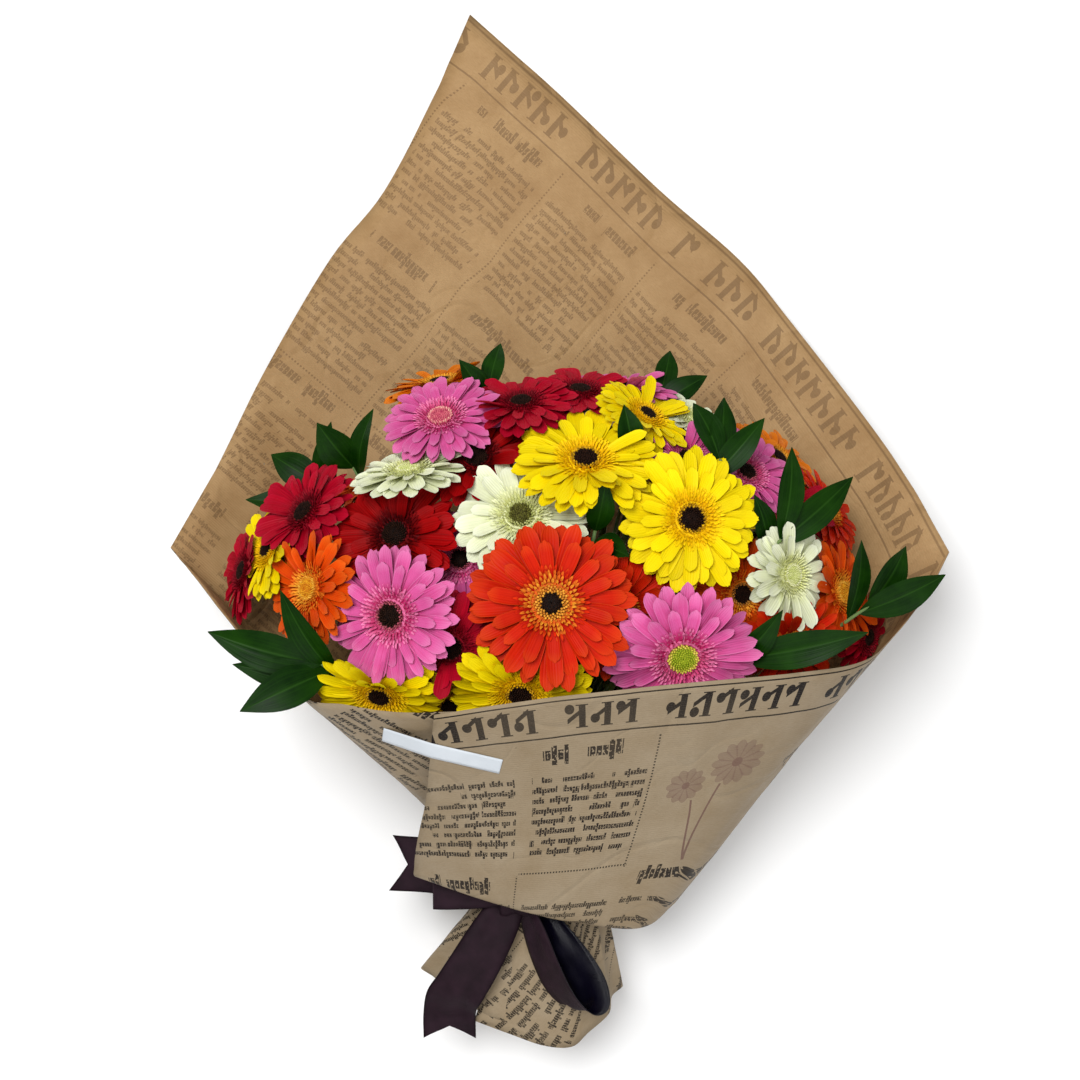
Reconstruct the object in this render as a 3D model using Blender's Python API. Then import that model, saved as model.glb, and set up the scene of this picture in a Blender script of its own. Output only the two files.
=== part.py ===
# A hand-tied bouquet of gerberas and ruscus, wrapped in one sheet of brown kraft paper and tied with a
# satin ribbon. It lies on the paper's flat back, flower heads towards +Y, faces up.
# Sizes and places are in millimetres and are scaled to metres when a mesh is made.

import math

import bpy
from mathutils import Vector
from mathutils.bvhtree import BVHTree
from mathutils.geometry import convex_hull_2d

MM = 0.001
# Moves the design frame, whose binding lies near y = 0, so that the origin is under the middle of the box.
ORIGIN_SHIFT = Vector((-12.5, -273.0, 0.0))

# The axis of the bunch rises from the foot to the flower heads.
AXIS_TILT = math.radians(14.0)
ACROSS = Vector((1.0, 0.0, 0.0))
ALONG = Vector((0.0, math.cos(AXIS_TILT), math.sin(AXIS_TILT)))
UPWARD = ACROSS.cross(ALONG)
BINDING = Vector((0.0, 24.0, 62.0))

STEM_HALF_WIDTH = 2.3
STEM_PITCH = 5.3
BUNCH_FLATTENING = 1.5
STEM_END = -72.0
STEM_END_STAGGER = 9.0
STRAIGHT_PAST_BINDING = 20.0
STEM_STEPS = 5
# Points of a stem before this one are held in the binding.
FIRST_FREE_POINT = 2
STEM_ROOM = 7.2
PARTING_ROUNDS = 200
CUP_ROOM = 5.0

TIE_GAP = 0.5
TIE_THICKNESS = 2.4
TIE_HALF_LENGTH = 7.0

PAPER_THICKNESS = 1.0
PAPER_FLOOR_MID = PAPER_THICKNESS / 2
WAIST_HALF_WIDTH = 44.0
WAIST_HALF_HEIGHT = 27.5
WAIST_HALF_LENGTH = 19.0
PLEAT_DEPTH = 2.2
OVERLAP_PLEAT_DEPTH = 0.6
OVERLAP_STEP = 4.0
FOOT_CENTRE_X = -13.0
FOOT_HALF_WIDTH = 69.0
FOOT_HALF_HEIGHT = 39.0
FOOT_PLEAT_DEPTH = 5.0
FLOOR_REACHED_AT = 190.0

# One line down the paper for each entry, from the inner end of the sheet round the left side, under the
# bunch, up the right side and over the front to the outer free edge: the rim point, the angle at the waist
# (0 is the front, 90 the left side, 180 the back), and how far down the foot goes.
PAPER_LINES = [
    ((-30.0, 154.0, 225.0), -20.0, -80.0),
    ((-81.0, 152.0, 221.0), 8.0, -74.0),
    ((-118.0, 156.0, 212.0), 28.0, -66.0),
    ((-147.0, 160.0, 196.0), 47.0, -56.0),
    ((-189.0, 192.0, 155.0), 65.0, -49.0),
    ((-235.0, 240.0, 118.0), 80.0, -45.0),
    ((-247.0, 251.0, 105.0), 92.0, -44.0),
    ((-226.0, 305.0, 56.0), 106.0, -48.0),
    ((-198.0, 378.0, 16.0), 121.0, -54.0),
    ((-153.0, 460.0, 2.0), 136.0, -58.0),
    ((-113.0, 511.0, 0.5), 150.0, -61.0),
    ((-73.0, 588.0, 0.5), 164.0, -63.0),
    ((-51.0, 639.0, 0.5), 178.0, -64.0),
    ((15.0, 580.0, 0.5), 192.0, -64.0),
    ((87.0, 511.0, 0.5), 206.0, -63.0),
    ((145.0, 460.0, 2.0), 220.0, -62.0),
    ((180.0, 415.0, 12.0), 234.0, -60.0),
    ((232.0, 337.0, 46.0), 249.0, -58.0),
    ((256.0, 290.0, 80.0), 262.0, -57.0),
    ((272.0, 248.0, 112.0), 275.0, -58.0),
    ((255.0, 223.0, 132.0), 288.0, -63.0),
    ((223.0, 192.0, 160.0), 302.0, -73.0),
    ((200.0, 180.0, 185.0), 316.0, -84.0),
    ((158.0, 175.0, 207.0), 331.0, -92.0),
    ((96.0, 171.0, 226.0), 347.0, -90.0),
    ((12.0, 163.0, 236.0), 366.0, -82.0),
    ((-63.0, 152.0, 234.0), 388.0, -74.0),
]
# The front bags out over the ribbon and folds back under to the waist. For each line from the first one
# here: the lowest point of the fold, and how much of the fold that line has.
FIRST_FOLD_LINE = 17
FOLD_POINTS = [
    ((80.0, 34.0, 50.0), 0.2),
    ((86.0, 20.0, 58.0), 0.65),
    ((88.0, 8.0, 68.0), 1.0),
    ((80.0, 1.0, 82.0), 1.0),
    ((70.0, -4.0, 94.0), 1.0),
    ((56.0, -4.0, 103.0), 1.0),
    ((34.0, 0.0, 110.0), 1.0),
    ((4.0, 6.0, 114.0), 1.0),
    ((-36.0, 17.0, 114.0), 1.0),
    ((-81.0, 31.5, 109.0), 1.0),
]
FOLD_BULGE = 5.0
TURN_PAST_WAIST = 6.0
TURN_OUTWARD = 5.0
# Where each row of the body lies, as parts of the way from the waist to the rim, and how much of the
# waist's pleats is left there.
BODY_ROWS = [(0.04, 1.0), (0.09, 0.9), (0.15, 0.75), (0.23, 0.5),
             (0.37, 0.25), (0.54, 0.0), (0.76, 0.0), (1.0, 0.0)]
FOLD_ROWS_UP = [0.07, 0.26, 0.5, 0.75, 1.0]

RIBBON_THICKNESS = 1.2
LEFT_LOOP_Y = 18.0
BAND_GAP = 0.8
BAND_SEGMENTS = 22
BAND_HALF_WIDTH = 17.0
KNOT_CENTRE = Vector((-16.0, 17.0, 97.0))
KNOT_HALF_SIZE = Vector((13.0, 13.0, 6.0))

LABEL_LEFT_END = (-97.0, 139.0)
LABEL_RIGHT_END = (-24.0, 120.0)
LABEL_WIDTH = 11.0
LABEL_THICKNESS = 0.7
LABEL_GAP = 0.6
LABEL_STEPS = 9

# Parts of a flower, as parts of its radius or in millimetres.
ROOT_RING = 0.36
DISC_RING = 0.2
DISC_RISE = 3.6
DISC_CENTRE_RISE = 1.2
PETAL_THICKNESS = 1.2
LAYER_STEP = 3.4
UPPER_REACH = 0.8
CUP_DEPTH = 12.0
CUP_HALF_WIDTH = 7.0
NECK_DEPTH = 20.0
PETAL_WIDEST = 0.68
PETAL_MIDDLE = 0.5
PETAL_FILL = 0.86
TIP_CURL = math.radians(7.0)
UPPER_LIFT = math.radians(16.0)
LOWER_LIFT = math.radians(4.0)
LIFT_STEPS = [math.radians(turn) for turn in (0.0, 7.0, 14.0, 22.0, 31.0, 41.0)]
REACH_STEPS = [1.0, 0.88, 0.76, 0.64, 0.52, 0.4, 0.28, 0.16, 0.08]
CLEARANCE = 0.45
LEAST_CLEARANCE = 0.12
RESERVED_REACH = 0.22
PETAL_TRIALS = [(clearance, reach, lift) for clearance in (CLEARANCE, LEAST_CLEARANCE)
                for reach in REACH_STEPS for lift in LIFT_STEPS]

COLOURS = {
    "paper_kraft": ((0.47, 0.32, 0.18), 0.75),
    "ribbon_satin": ((0.035, 0.014, 0.022), 0.4),
    "label_white": ((0.86, 0.86, 0.84), 0.5),
    "tie_string": ((0.55, 0.42, 0.22), 0.8),
    "leaf_green": ((0.012, 0.07, 0.016), 0.35),
    "petal_scarlet": ((0.78, 0.05, 0.008), 0.5),
    "petal_orange": ((0.78, 0.15, 0.012), 0.5),
    "petal_amber": ((0.72, 0.2, 0.02), 0.5),
    "petal_yellow": ((0.93, 0.67, 0.008), 0.5),
    "petal_pink": ((0.76, 0.16, 0.4), 0.5),
    "petal_white": ((0.85, 0.87, 0.68), 0.5),
    "petal_crimson": ((0.36, 0.008, 0.03), 0.5),
    "petal_dark_red": ((0.2, 0.004, 0.01), 0.5),
}

# Each gerbera: name, colour, middle of its disc, radius, how far it turns from facing straight up,
# which way it turns (0 is +X, 90 is +Y), and the petals in one layer.
GERBERAS = [
    ("gerbera_scarlet_centre", "petal_scarlet", (7, 218, 225), 52, 7, 90, 11),
    ("gerbera_scarlet_behind", "petal_scarlet", (47, 213, 194), 44, 12, 320, 10),
    ("gerbera_yellow_top", "petal_yellow", (28, 306, 198), 46, 44, 88, 11),
    ("gerbera_yellow_right", "petal_yellow", (93, 269, 204), 46, 14, 40, 11),
    ("gerbera_white_centre", "petal_white", (-12, 272, 200), 44, 26, 98, 10),
    ("gerbera_cream_left", "petal_white", (-82, 300, 186), 38, 68, 98, 9),
    ("gerbera_pink_left", "petal_pink", (-91, 210, 212), 45, 22, 190, 11),
    ("gerbera_pink_right", "petal_pink", (87, 184, 210), 48, 24, 285, 11),
    ("gerbera_pink_top", "petal_pink", (-63, 334, 168), 40, 44, 100, 10),
    ("gerbera_dark_red_left", "petal_dark_red", (-90, 260, 192), 42, 26, 125, 10),
    ("gerbera_crimson_left", "petal_crimson", (-150, 274, 164), 38, 50, 140, 9),
    ("gerbera_orange_left", "petal_orange", (-144, 226, 188), 38, 42, 170, 10),
    ("gerbera_crimson_far_left", "petal_crimson", (-194, 236, 134), 34, 62, 165, 9),
    ("gerbera_yellow_far_left", "petal_yellow", (-174, 250, 158), 34, 52, 155, 9),
    ("gerbera_yellow_front_left", "petal_yellow", (-99, 160, 196), 42, 44, 255, 10),
    ("gerbera_yellow_front_low", "petal_yellow", (-56, 152, 176), 38, 42, 265, 9),
    ("gerbera_yellow_front", "petal_yellow", (-12, 162, 208), 45, 38, 268, 10),
    ("gerbera_crimson_front", "petal_crimson", (-55, 190, 202), 38, 12, 250, 9),
    ("gerbera_dark_red_top", "petal_dark_red", (-40, 308, 178), 38, 36, 92, 9),
    ("gerbera_amber_top", "petal_amber", (-66, 360, 122), 40, 72, 100, 9),
    ("gerbera_crimson_top_left", "petal_crimson", (-12, 344, 163), 36, 56, 95, 9),
    ("gerbera_crimson_top_right", "petal_crimson", (26, 353, 146), 36, 62, 86, 9),
    ("gerbera_pink_top_right", "petal_pink", (56, 357, 126), 37, 72, 84, 9),
    ("gerbera_yellow_side", "petal_yellow", (68, 336, 162), 35, 58, 58, 9),
    ("gerbera_white_small", "petal_white", (97, 336, 140), 32, 62, 60, 9),
    ("gerbera_amber_right", "petal_amber", (125, 318, 136), 34, 56, 55, 9),
    ("gerbera_pink_inner", "petal_pink", (92, 307, 174), 36, 36, 60, 9),
    ("gerbera_pink_upper_right", "petal_pink", (131, 299, 164), 36, 40, 55, 9),
    ("gerbera_crimson_right", "petal_crimson", (162, 278, 148), 34, 46, 40, 9),
    ("gerbera_amber_far_right", "petal_amber", (156, 310, 128), 34, 58, 50, 9),
    ("gerbera_red_right", "petal_scarlet", (190, 276, 122), 34, 60, 35, 9),
    ("gerbera_white_right", "petal_white", (158, 234, 178), 37, 40, 5, 9),
    ("gerbera_orange_right", "petal_orange", (127, 222, 174), 37, 22, 340, 9),
    ("gerbera_coral_far_right", "petal_orange", (196, 222, 142), 37, 50, 15, 9),
    ("gerbera_red_front_right", "petal_scarlet", (158, 190, 176), 37, 30, 320, 9),
    ("gerbera_dark_far_right", "petal_crimson", (216, 192, 122), 30, 50, 350, 9),
    ("gerbera_pink_between", "petal_pink", (-50, 244, 182), 36, 14, 120, 9),
    ("gerbera_orange_rear_left", "petal_orange", (-118, 296, 84), 36, 76, 125, 8),
    ("gerbera_yellow_rear", "petal_yellow", (-6, 334, 84), 36, 84, 92, 8),
    ("gerbera_pink_rear_right", "petal_pink", (128, 296, 84), 36, 76, 55, 8),
]
LONG_NECK = 0.36

# Each ruscus sprig: name, end of its stem, and for each leaf where its tip is, how far before the end of
# the stem it starts, and its width.
SPRIGS = [
    ("ruscus_left", (-134, 180, 200),
     [((-203, 200, 206), 0, 25), ((-182, 152, 214), 7, 25), ((-156, 226, 224), 14, 21), ((-188, 180, 205), 18, 22)]),
    ("ruscus_upper_left", (-120, 303, 150),
     [((-141, 330, 168), 0, 24), ((-104, 338, 182), 8, 18)]),
    ("ruscus_left_rear", (-142, 292, 134),
     [((-176, 312, 130), 0, 22), ((-134, 332, 152), 10, 21), ((-190, 282, 146), 20, 21)]),
    ("ruscus_top", (-34, 352, 136),
     [((-26, 386, 118), 0, 15), ((-52, 372, 150), 8, 17)]),
    ("ruscus_top_right", (80, 352, 106),
     [((88, 384, 92), 0, 16), ((112, 366, 104), 8, 18)]),
    ("ruscus_middle", (34, 262, 196),
     [((40, 292, 222), 0, 17), ((54, 246, 214), 8, 18)]),
    ("ruscus_upper_middle", (58, 306, 182),
     [((52, 340, 190), 0, 18), ((70, 292, 206), 8, 17)]),
    ("ruscus_upper_right", (112, 306, 190),
     [((96, 342, 178), 0, 19), ((116, 346, 172), 7, 18), ((140, 332, 184), 14, 18)]),
    ("ruscus_right", (150, 256, 186),
     [((157, 314, 184), 0, 19), ((198, 296, 168), 8, 21), ((132, 284, 196), 14, 18)]),
    ("ruscus_far_right", (210, 214, 158),
     [((234, 252, 156), 0, 22), ((258, 234, 162), 8, 22), ((207, 256, 148), 16, 17)]),
    ("ruscus_front_right", (122, 184, 196),
     [((199, 200, 214), 2, 23), ((146, 214, 222), 13, 20)]),
]
SPRIG_TIP_HALF_WIDTH = 1.5
LEAF_THICKNESS = 1.2
LEAF_SINK = 0.8
BUNCH_MIDDLE = Vector((0.0, 200.0, 90.0))
LEAF_FOLD = 0.1
LEAF_ARCH = 0.08
LEAF_OUTLINE = [(0.2, 0.62), (0.5, 1.0), (0.8, 0.58)]


def make_material(name):
    colour, roughness = COLOURS[name]
    material = bpy.data.materials.new(name)
    material.use_nodes = True
    shader = material.node_tree.nodes["Principled BSDF"]
    shader.inputs["Base Color"].default_value = (*colour, 1.0)
    shader.inputs["Roughness"].default_value = roughness
    shader.inputs["Metallic"].default_value = 0.0
    material.diffuse_color = (*colour, 1.0)
    return material


def make_object(name, solid, material):
    points, faces = solid
    mesh = bpy.data.meshes.new(name)
    mesh.from_pydata([(point + ORIGIN_SHIFT) * MM for point in points], [], faces)
    mesh.materials.append(material)
    mesh.validate()
    mesh.update()
    part = bpy.data.objects.new(name, mesh)
    bpy.context.collection.objects.link(part)
    return part


def join_with(part, extra):
    """Fuses the object extra into part, so that both are one closed solid."""
    cut = part.modifiers.new("join", "BOOLEAN")
    cut.operation = "UNION"
    cut.solver = "MANIFOLD"
    cut.object = extra
    bpy.context.view_layer.update()
    graph = bpy.context.evaluated_depsgraph_get()
    fused = bpy.data.meshes.new_from_object(part.evaluated_get(graph))
    part.modifiers.clear()
    part.data = fused
    bpy.data.objects.remove(extra)


def tree_of(solids):
    """One search tree over several solids."""
    points, faces = [], []
    for solid_points, solid_faces in solids:
        offset = len(points)
        points.extend(solid_points)
        faces.extend([tuple(index + offset for index in face) for face in solid_faces])
    return BVHTree.FromPolygons(points, faces)


# Swept and thickened shapes

def square_rings(path, half_widths, side):
    """A square ring at each point of a path, kept from twisting, and the last ring's side direction."""
    rings = []
    for index, point in enumerate(path):
        before = path[max(index - 1, 0)]
        after = path[min(index + 1, len(path) - 1)]
        forward = (after - before).normalized()
        side = (side - forward * side.dot(forward)).normalized()
        up = side.cross(forward)
        half = half_widths[index]
        corners = ((1, 1), (-1, 1), (-1, -1), (1, -1))
        rings.append([point + side * half * a + up * half * b for a, b in corners])
    return rings, side


def strip_solid(centres, sides, thickness, notch=0.0):
    """A ribbon along centres: sides are its half widths as vectors. notch cuts a V into its last end."""
    count = len(centres)
    points, faces = [], []
    for index in range(count):
        before = centres[max(index - 1, 0)]
        after = centres[min(index + 1, count - 1)]
        forward = (after - before).normalized()
        up = sides[index].cross(forward).normalized() * thickness / 2
        left = centres[index] - sides[index]
        right = centres[index] + sides[index]
        points.extend([left + up, centres[index] + up, right + up])
        points.extend([right - up, centres[index] - up, left - up])
    if notch:
        back = (centres[-2] - centres[-1]).normalized() * notch
        points[-5] += back
        points[-2] += back
    for index in range(count - 1):
        first = index * 6
        for step in range(6):
            a, b = first + step, first + (step + 1) % 6
            faces.extend([(a, b, b + 6), (a, b + 6, a + 6)])
    last = (count - 1) * 6
    for start, flip in ((0, False), (last, True)):
        for quad in ((0, 5, 4, 1), (1, 4, 3, 2)):
            corners = [start + index for index in quad]
            if flip:
                corners.reverse()
            faces.append(tuple(corners[:3]))
            faces.append((corners[0], corners[2], corners[3]))
    return points, faces


def loop_solid(centres, sides, thickness):
    """A closed band along centres: sides are its half widths as vectors."""
    count = len(centres)
    middle = sum(centres, Vector()) / count
    points, faces = [], []
    for index in range(count):
        forward = (centres[(index + 1) % count] - centres[index - 1]).normalized()
        outward = forward.cross(sides[index]).normalized() * thickness / 2
        if outward.dot(centres[index] - middle) < 0:
            outward = -outward
        for sign_out, sign_side in ((1, 1), (-1, 1), (-1, -1), (1, -1)):
            points.append(centres[index] + outward * sign_out + sides[index] * sign_side)
    for index in range(count):
        first, following = index * 4, (index + 1) % count * 4
        for step in range(4):
            a, b = step, (step + 1) % 4
            faces.extend([(first + a, first + b, following + b), (first + a, following + b, following + a)])
    return facing_out((points, faces))


def facing_out(solid):
    """Turns every face over if the closed solid is inside out."""
    points, faces = solid
    volume = sum(points[a].dot(points[b].cross(points[c])) for a, b, c in faces)
    if volume < 0:
        faces = [(a, c, b) for a, b, c in faces]
    return points, faces


def thick_sheet(rows, thickness):
    """A closed sheet over a grid of points, with the same triangles on both faces."""
    row_count, column_count = len(rows), len(rows[0])
    outer, inner = [], []
    for r in range(row_count):
        for c in range(column_count):
            along = rows[min(r + 1, row_count - 1)][c] - rows[max(r - 1, 0)][c]
            round_about = rows[r][min(c + 1, column_count - 1)] - rows[r][max(c - 1, 0)]
            normal = round_about.cross(along).normalized() * thickness / 2
            outer.append(rows[r][c] + normal)
            inner.append(rows[r][c] - normal)
            if rows[r][c].z <= PAPER_FLOOR_MID + 1e-6:
                for side in (outer, inner):
                    side[-1].z = 0.0 if side[-1].z < rows[r][c].z else thickness
    points = outer + inner
    shift = len(outer)
    faces = []
    for r in range(row_count - 1):
        for c in range(column_count - 1):
            a = r * column_count + c
            b, d = a + 1, a + column_count
            e = d + 1
            for triangle in ((a, b, e), (a, e, d)):
                faces.append(triangle)
                faces.append(tuple(index + shift for index in reversed(triangle)))
    border = [(0, c) for c in range(column_count)]
    border += [(r, column_count - 1) for r in range(1, row_count)]
    border += [(row_count - 1, c) for c in range(column_count - 2, -1, -1)]
    border += [(r, 0) for r in range(row_count - 2, 0, -1)]
    loop = [r * column_count + c for r, c in border]
    for index, a in enumerate(loop):
        b = loop[(index + 1) % len(loop)]
        faces.extend([(b, a, a + shift), (b, a + shift, b + shift)])
    return facing_out((points, faces))


# The paper sheet

def waist_point(angle_deg, height, outward=0.0):
    """A point of the waist ring, height along the axis from the binding, outward from the ring."""
    angle = math.radians(angle_deg)
    across = -math.sin(angle)
    up = math.cos(angle)
    push = Vector((across * WAIST_HALF_HEIGHT, up * WAIST_HALF_WIDTH)).normalized() * outward
    ring = Vector((across * WAIST_HALF_WIDTH, up * WAIST_HALF_HEIGHT)) + push
    return BINDING + ALONG * height + ACROSS * ring.x + UPWARD * ring.y


def foot_point(angle_deg, end_y, part, pleat):
    """A point between the waist and the flared foot end, where part is 1."""
    angle = math.radians(angle_deg)
    end = Vector((FOOT_CENTRE_X - math.sin(angle) * (FOOT_HALF_WIDTH + pleat), end_y,
                  PAPER_FLOOR_MID + FOOT_HALF_HEIGHT + math.cos(angle) * FOOT_HALF_HEIGHT))
    start = waist_point(angle_deg, -WAIST_HALF_LENGTH, pleat * 0.4)
    return start.lerp(end, part)


def straight_body_point(rim, angle_deg, part, pleat):
    """A point on the line from the waist to the rim, laid down on the floor under the bunch."""
    start = waist_point(angle_deg, WAIST_HALF_LENGTH, pleat)
    point = start.lerp(rim, part)
    floor_part = min(1.0, max(0.0, (FLOOR_REACHED_AT - start.y) / (rim.y - start.y)))
    lying = 1.0 - min(1.0, rim.z / 60.0)
    if part < floor_part:
        dip = 1.0 - (1.0 - part / floor_part) ** 1.5
    else:
        dip = 1.0
    lying_z = start.z + (PAPER_FLOOR_MID - start.z) * dip + max(0.0, part - floor_part) * rim.z
    point.z = point.z * (1.0 - lying) + lying_z * lying
    if part == 1.0:
        point.z = rim.z
    return point


def fold_body_points(rim, angle_deg, fold):
    """The rows of a line that folds over at the front: turn, return, fold, then up to the rim."""
    top = waist_point(angle_deg, WAIST_HALF_LENGTH + TURN_PAST_WAIST, TURN_OUTWARD)
    under = fold.lerp(top, 0.45)
    rows = [top, under, fold]
    for part in FOLD_ROWS_UP:
        point = fold.lerp(rim, part)
        bulge = FOLD_BULGE * math.sin(math.pi * min(1.0, part * 2.2 + 0.15))
        if part < 0.45:
            point += (point - BINDING).normalized() * bulge
        rows.append(point)
    return rows


def paper_rows():
    """The sheet's grid of points: rows from the foot end to the rim, columns round the bunch."""
    columns = []
    last = len(PAPER_LINES) - 1
    for index, (rim, angle_deg, foot_y) in enumerate(PAPER_LINES):
        rim = Vector(rim)
        overlap = index <= 1 or index >= last - 2
        sign = 1.0 if index % 2 else -1.0
        depth = sign * (OVERLAP_PLEAT_DEPTH if overlap else PLEAT_DEPTH)
        inset = -OVERLAP_STEP if index == 0 else -OVERLAP_STEP * 0.75 if index == 1 else 0.0
        foot_pleat = sign * (OVERLAP_PLEAT_DEPTH if overlap else FOOT_PLEAT_DEPTH) + inset
        column = [foot_point(angle_deg, foot_y, part, foot_pleat) for part in (1.0, 0.5)]
        if PAPER_FLOOR_MID < column[0].z < PAPER_FLOOR_MID + 3.0:
            column[0].z = PAPER_FLOOR_MID
        column.append(waist_point(angle_deg, -WAIST_HALF_LENGTH, depth + inset))
        column.append(waist_point(angle_deg, WAIST_HALF_LENGTH, depth + inset))
        body = [straight_body_point(rim, angle_deg, part, (depth + inset) * kept)
                for part, kept in BODY_ROWS]
        if index >= FIRST_FOLD_LINE:
            fold, share = FOLD_POINTS[index - FIRST_FOLD_LINE]
            folded = fold_body_points(rim, angle_deg, Vector(fold))
            body = [plain.lerp(bagged, share) for plain, bagged in zip(body, folded)]
        columns.append(column + body)
    return [list(row) for row in zip(*columns)]


# The ribbon

def band_solid():
    clear = PLEAT_DEPTH + PAPER_THICKNESS / 2 + BAND_GAP + RIBBON_THICKNESS / 2
    centres = [waist_point(360.0 * index / BAND_SEGMENTS, 0.0, clear) for index in range(BAND_SEGMENTS)]
    return loop_solid(centres, [ALONG * BAND_HALF_WIDTH] * BAND_SEGMENTS, RIBBON_THICKNESS)


def knot_solid():
    """A squashed bead with flat ends, where the ribbon crosses."""
    rings, sides = 4, 8
    points = [KNOT_CENTRE - Vector((KNOT_HALF_SIZE.x, 0, 0))]
    for ring in range(1, rings):
        turn = math.pi * ring / rings
        for side in range(sides):
            about = 2 * math.pi * side / sides
            points.append(KNOT_CENTRE + Vector((
                -KNOT_HALF_SIZE.x * math.cos(turn),
                KNOT_HALF_SIZE.y * math.sin(turn) * math.cos(about),
                KNOT_HALF_SIZE.z * math.sin(turn) * math.sin(about))))
    points.append(KNOT_CENTRE + Vector((KNOT_HALF_SIZE.x, 0, 0)))
    end = len(points) - 1
    faces = []
    for side in range(sides):
        following = (side + 1) % sides
        faces.append((0, 1 + following, 1 + side))
        faces.append((end, end - sides + side, end - sides + following))
        for ring in range(rings - 2):
            a, b = 1 + ring * sides + side, 1 + ring * sides + following
            faces.extend([(a, b, b + sides), (a, b + sides, a + sides)])
    return facing_out((points, faces))


def hanging_loop():
    """The loop that hangs over the foot, standing on edge and leaning right."""
    route = [(-12, 16, 94, 5), (-10, -6, 96, 8), (-3, -32, 101, 13), (7, -56, 103, 16), (20, -66, 103, 17),
             (34, -60, 102, 17), (36, -40, 101, 16), (26, -16, 99, 12), (8, 8, 94, 6)]
    leaning = Vector((0.42, 0.0, 0.9)).normalized()
    centres = [Vector((x, y, z)) for x, y, z, _ in route]
    return loop_solid(centres, [leaning * half for *_, half in route], RIBBON_THICKNESS)


def left_loop():
    """The loop that lies to the left, across the waist."""
    route = [(-14, 100, 9), (-38, 102, 14), (-60, 100, 15.5), (-72, 96, 16),
             (-63, 92.5, 15.5), (-42, 92.5, 14), (-14, 95, 9)]
    centres = [Vector((x, LEFT_LOOP_Y, z)) for x, z, _ in route]
    return loop_solid(centres, [Vector((0.0, half, 1.0)) for *_, half in route], RIBBON_THICKNESS)


def long_tail():
    centres = [Vector(point) for point in
               ((-16, 16, 95), (-24, 0, 96), (-34, -18, 96), (-46, -42, 93), (-55, -60, 87), (-60, -80, 76))]
    sides = [Vector((0.92, -0.38, 0.1)).normalized() * half for half in (12, 15, 17, 18, 18, 18)]
    return facing_out(strip_solid(centres, sides, RIBBON_THICKNESS, notch=13.0))


def short_tail():
    centres = [Vector(point) for point in ((-14, 17, 94), (-42, 22, 87), (-70, 33, 83), (-102, 35, 77))]
    sides = [Vector((0.0, half, 0.0)) for half in (9, 12, 18, 19)]
    return facing_out(strip_solid(centres, sides, RIBBON_THICKNESS, notch=12.0))


def make_ribbon(material):
    ribbon = make_object("ribbon_bow", band_solid(), material)
    for piece in (knot_solid(), hanging_loop(), left_loop(), long_tail(), short_tail()):
        join_with(ribbon, make_object("ribbon_piece", piece, material))


# The white label across the free edge

def label_solid(paper_tree):
    """A strip that follows the paper under it, kept clear of the step at the sheet's free edge."""
    def height(x, y):
        return paper_tree.ray_cast(Vector((x, y, 400.0)), Vector((0.0, 0.0, -1.0)))[0].z

    ends = [Vector(LABEL_LEFT_END), Vector(LABEL_RIGHT_END)]
    slopes = [(height(end.x, end.y + LABEL_WIDTH) - height(end.x, end.y - LABEL_WIDTH)) / (2 * LABEL_WIDTH)
              for end in ends]
    spacing = (ends[1].x - ends[0].x) / LABEL_STEPS
    centres, sides = [], []
    for step in range(LABEL_STEPS + 1):
        part = step / LABEL_STEPS
        place = ends[0].lerp(ends[1], part)
        slope = slopes[0] + (slopes[1] - slopes[0]) * part
        half = LABEL_WIDTH / 2 / math.hypot(1.0, slope)
        middle = max(height(place.x + reach * spacing, place.y + edge * half) - slope * edge * half
                     for edge in (-1.0, 0.0, 1.0) for reach in (-1.05, -0.5, 0.0, 0.5, 1.05))
        lift = (LABEL_GAP + LABEL_THICKNESS / 2) * math.hypot(1.0, slope)
        centres.append(Vector((place.x, place.y, middle + lift)))
        sides.append(Vector((0.0, -half, -half * slope)))
    return facing_out(strip_solid(centres, sides, LABEL_THICKNESS))


# The stems

def stem_slots(count):
    """Places in the bound bunch, in rows, nearest the middle first."""
    reach = 9
    places = []
    for row in range(-reach, reach + 1):
        for column in range(-reach, reach + 1):
            places.append(((column + 0.5 * (row % 2)) * STEM_PITCH, row * STEM_PITCH))
    places.sort(key=lambda place: (round(math.hypot(place[0] / BUNCH_FLATTENING, place[1]), 3), place))
    return places[:count]


def spread(end):
    """Where a stem end lies across the bunch, as seen from the binding."""
    away = end - BINDING
    distance = max(away.dot(ALONG), 60.0)
    return away.dot(ACROSS) / distance, away.dot(UPWARD) / distance


def assign_slots(ends):
    """Gives each stem the slot on its own side, so that no two stems cross."""
    wanted = [spread(end) for end in ends]
    slots = stem_slots(len(ends))
    wide = max(abs(place[0]) for place in slots) / max(abs(want[0]) for want in wanted)
    high = [want[1] for want in wanted]
    middle, tall = (max(high) + min(high)) / 2, (max(high) - min(high)) / 2
    scale = max(abs(place[1]) for place in slots) / tall
    goal = [(want[0] * wide, (want[1] - middle) * scale) for want in wanted]
    chosen = list(range(len(ends)))

    def cost(stem, slot):
        return (goal[stem][0] - slots[slot][0]) ** 2 + (goal[stem][1] - slots[slot][1]) ** 2

    improved = True
    while improved:
        improved = False
        for a in range(len(ends)):
            for b in range(a + 1, len(ends)):
                now = cost(a, chosen[a]) + cost(b, chosen[b])
                if cost(a, chosen[b]) + cost(b, chosen[a]) < now - 1e-6:
                    chosen[a], chosen[b] = chosen[b], chosen[a]
                    improved = True
    return [slots[slot] for slot in chosen]


def bezier(start, start_handle, end_handle, end, part):
    rest = 1.0 - part
    return (start * rest ** 3 + start_handle * 3 * rest * rest * part
            + end_handle * 3 * rest * part * part + end * part ** 3)


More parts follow.
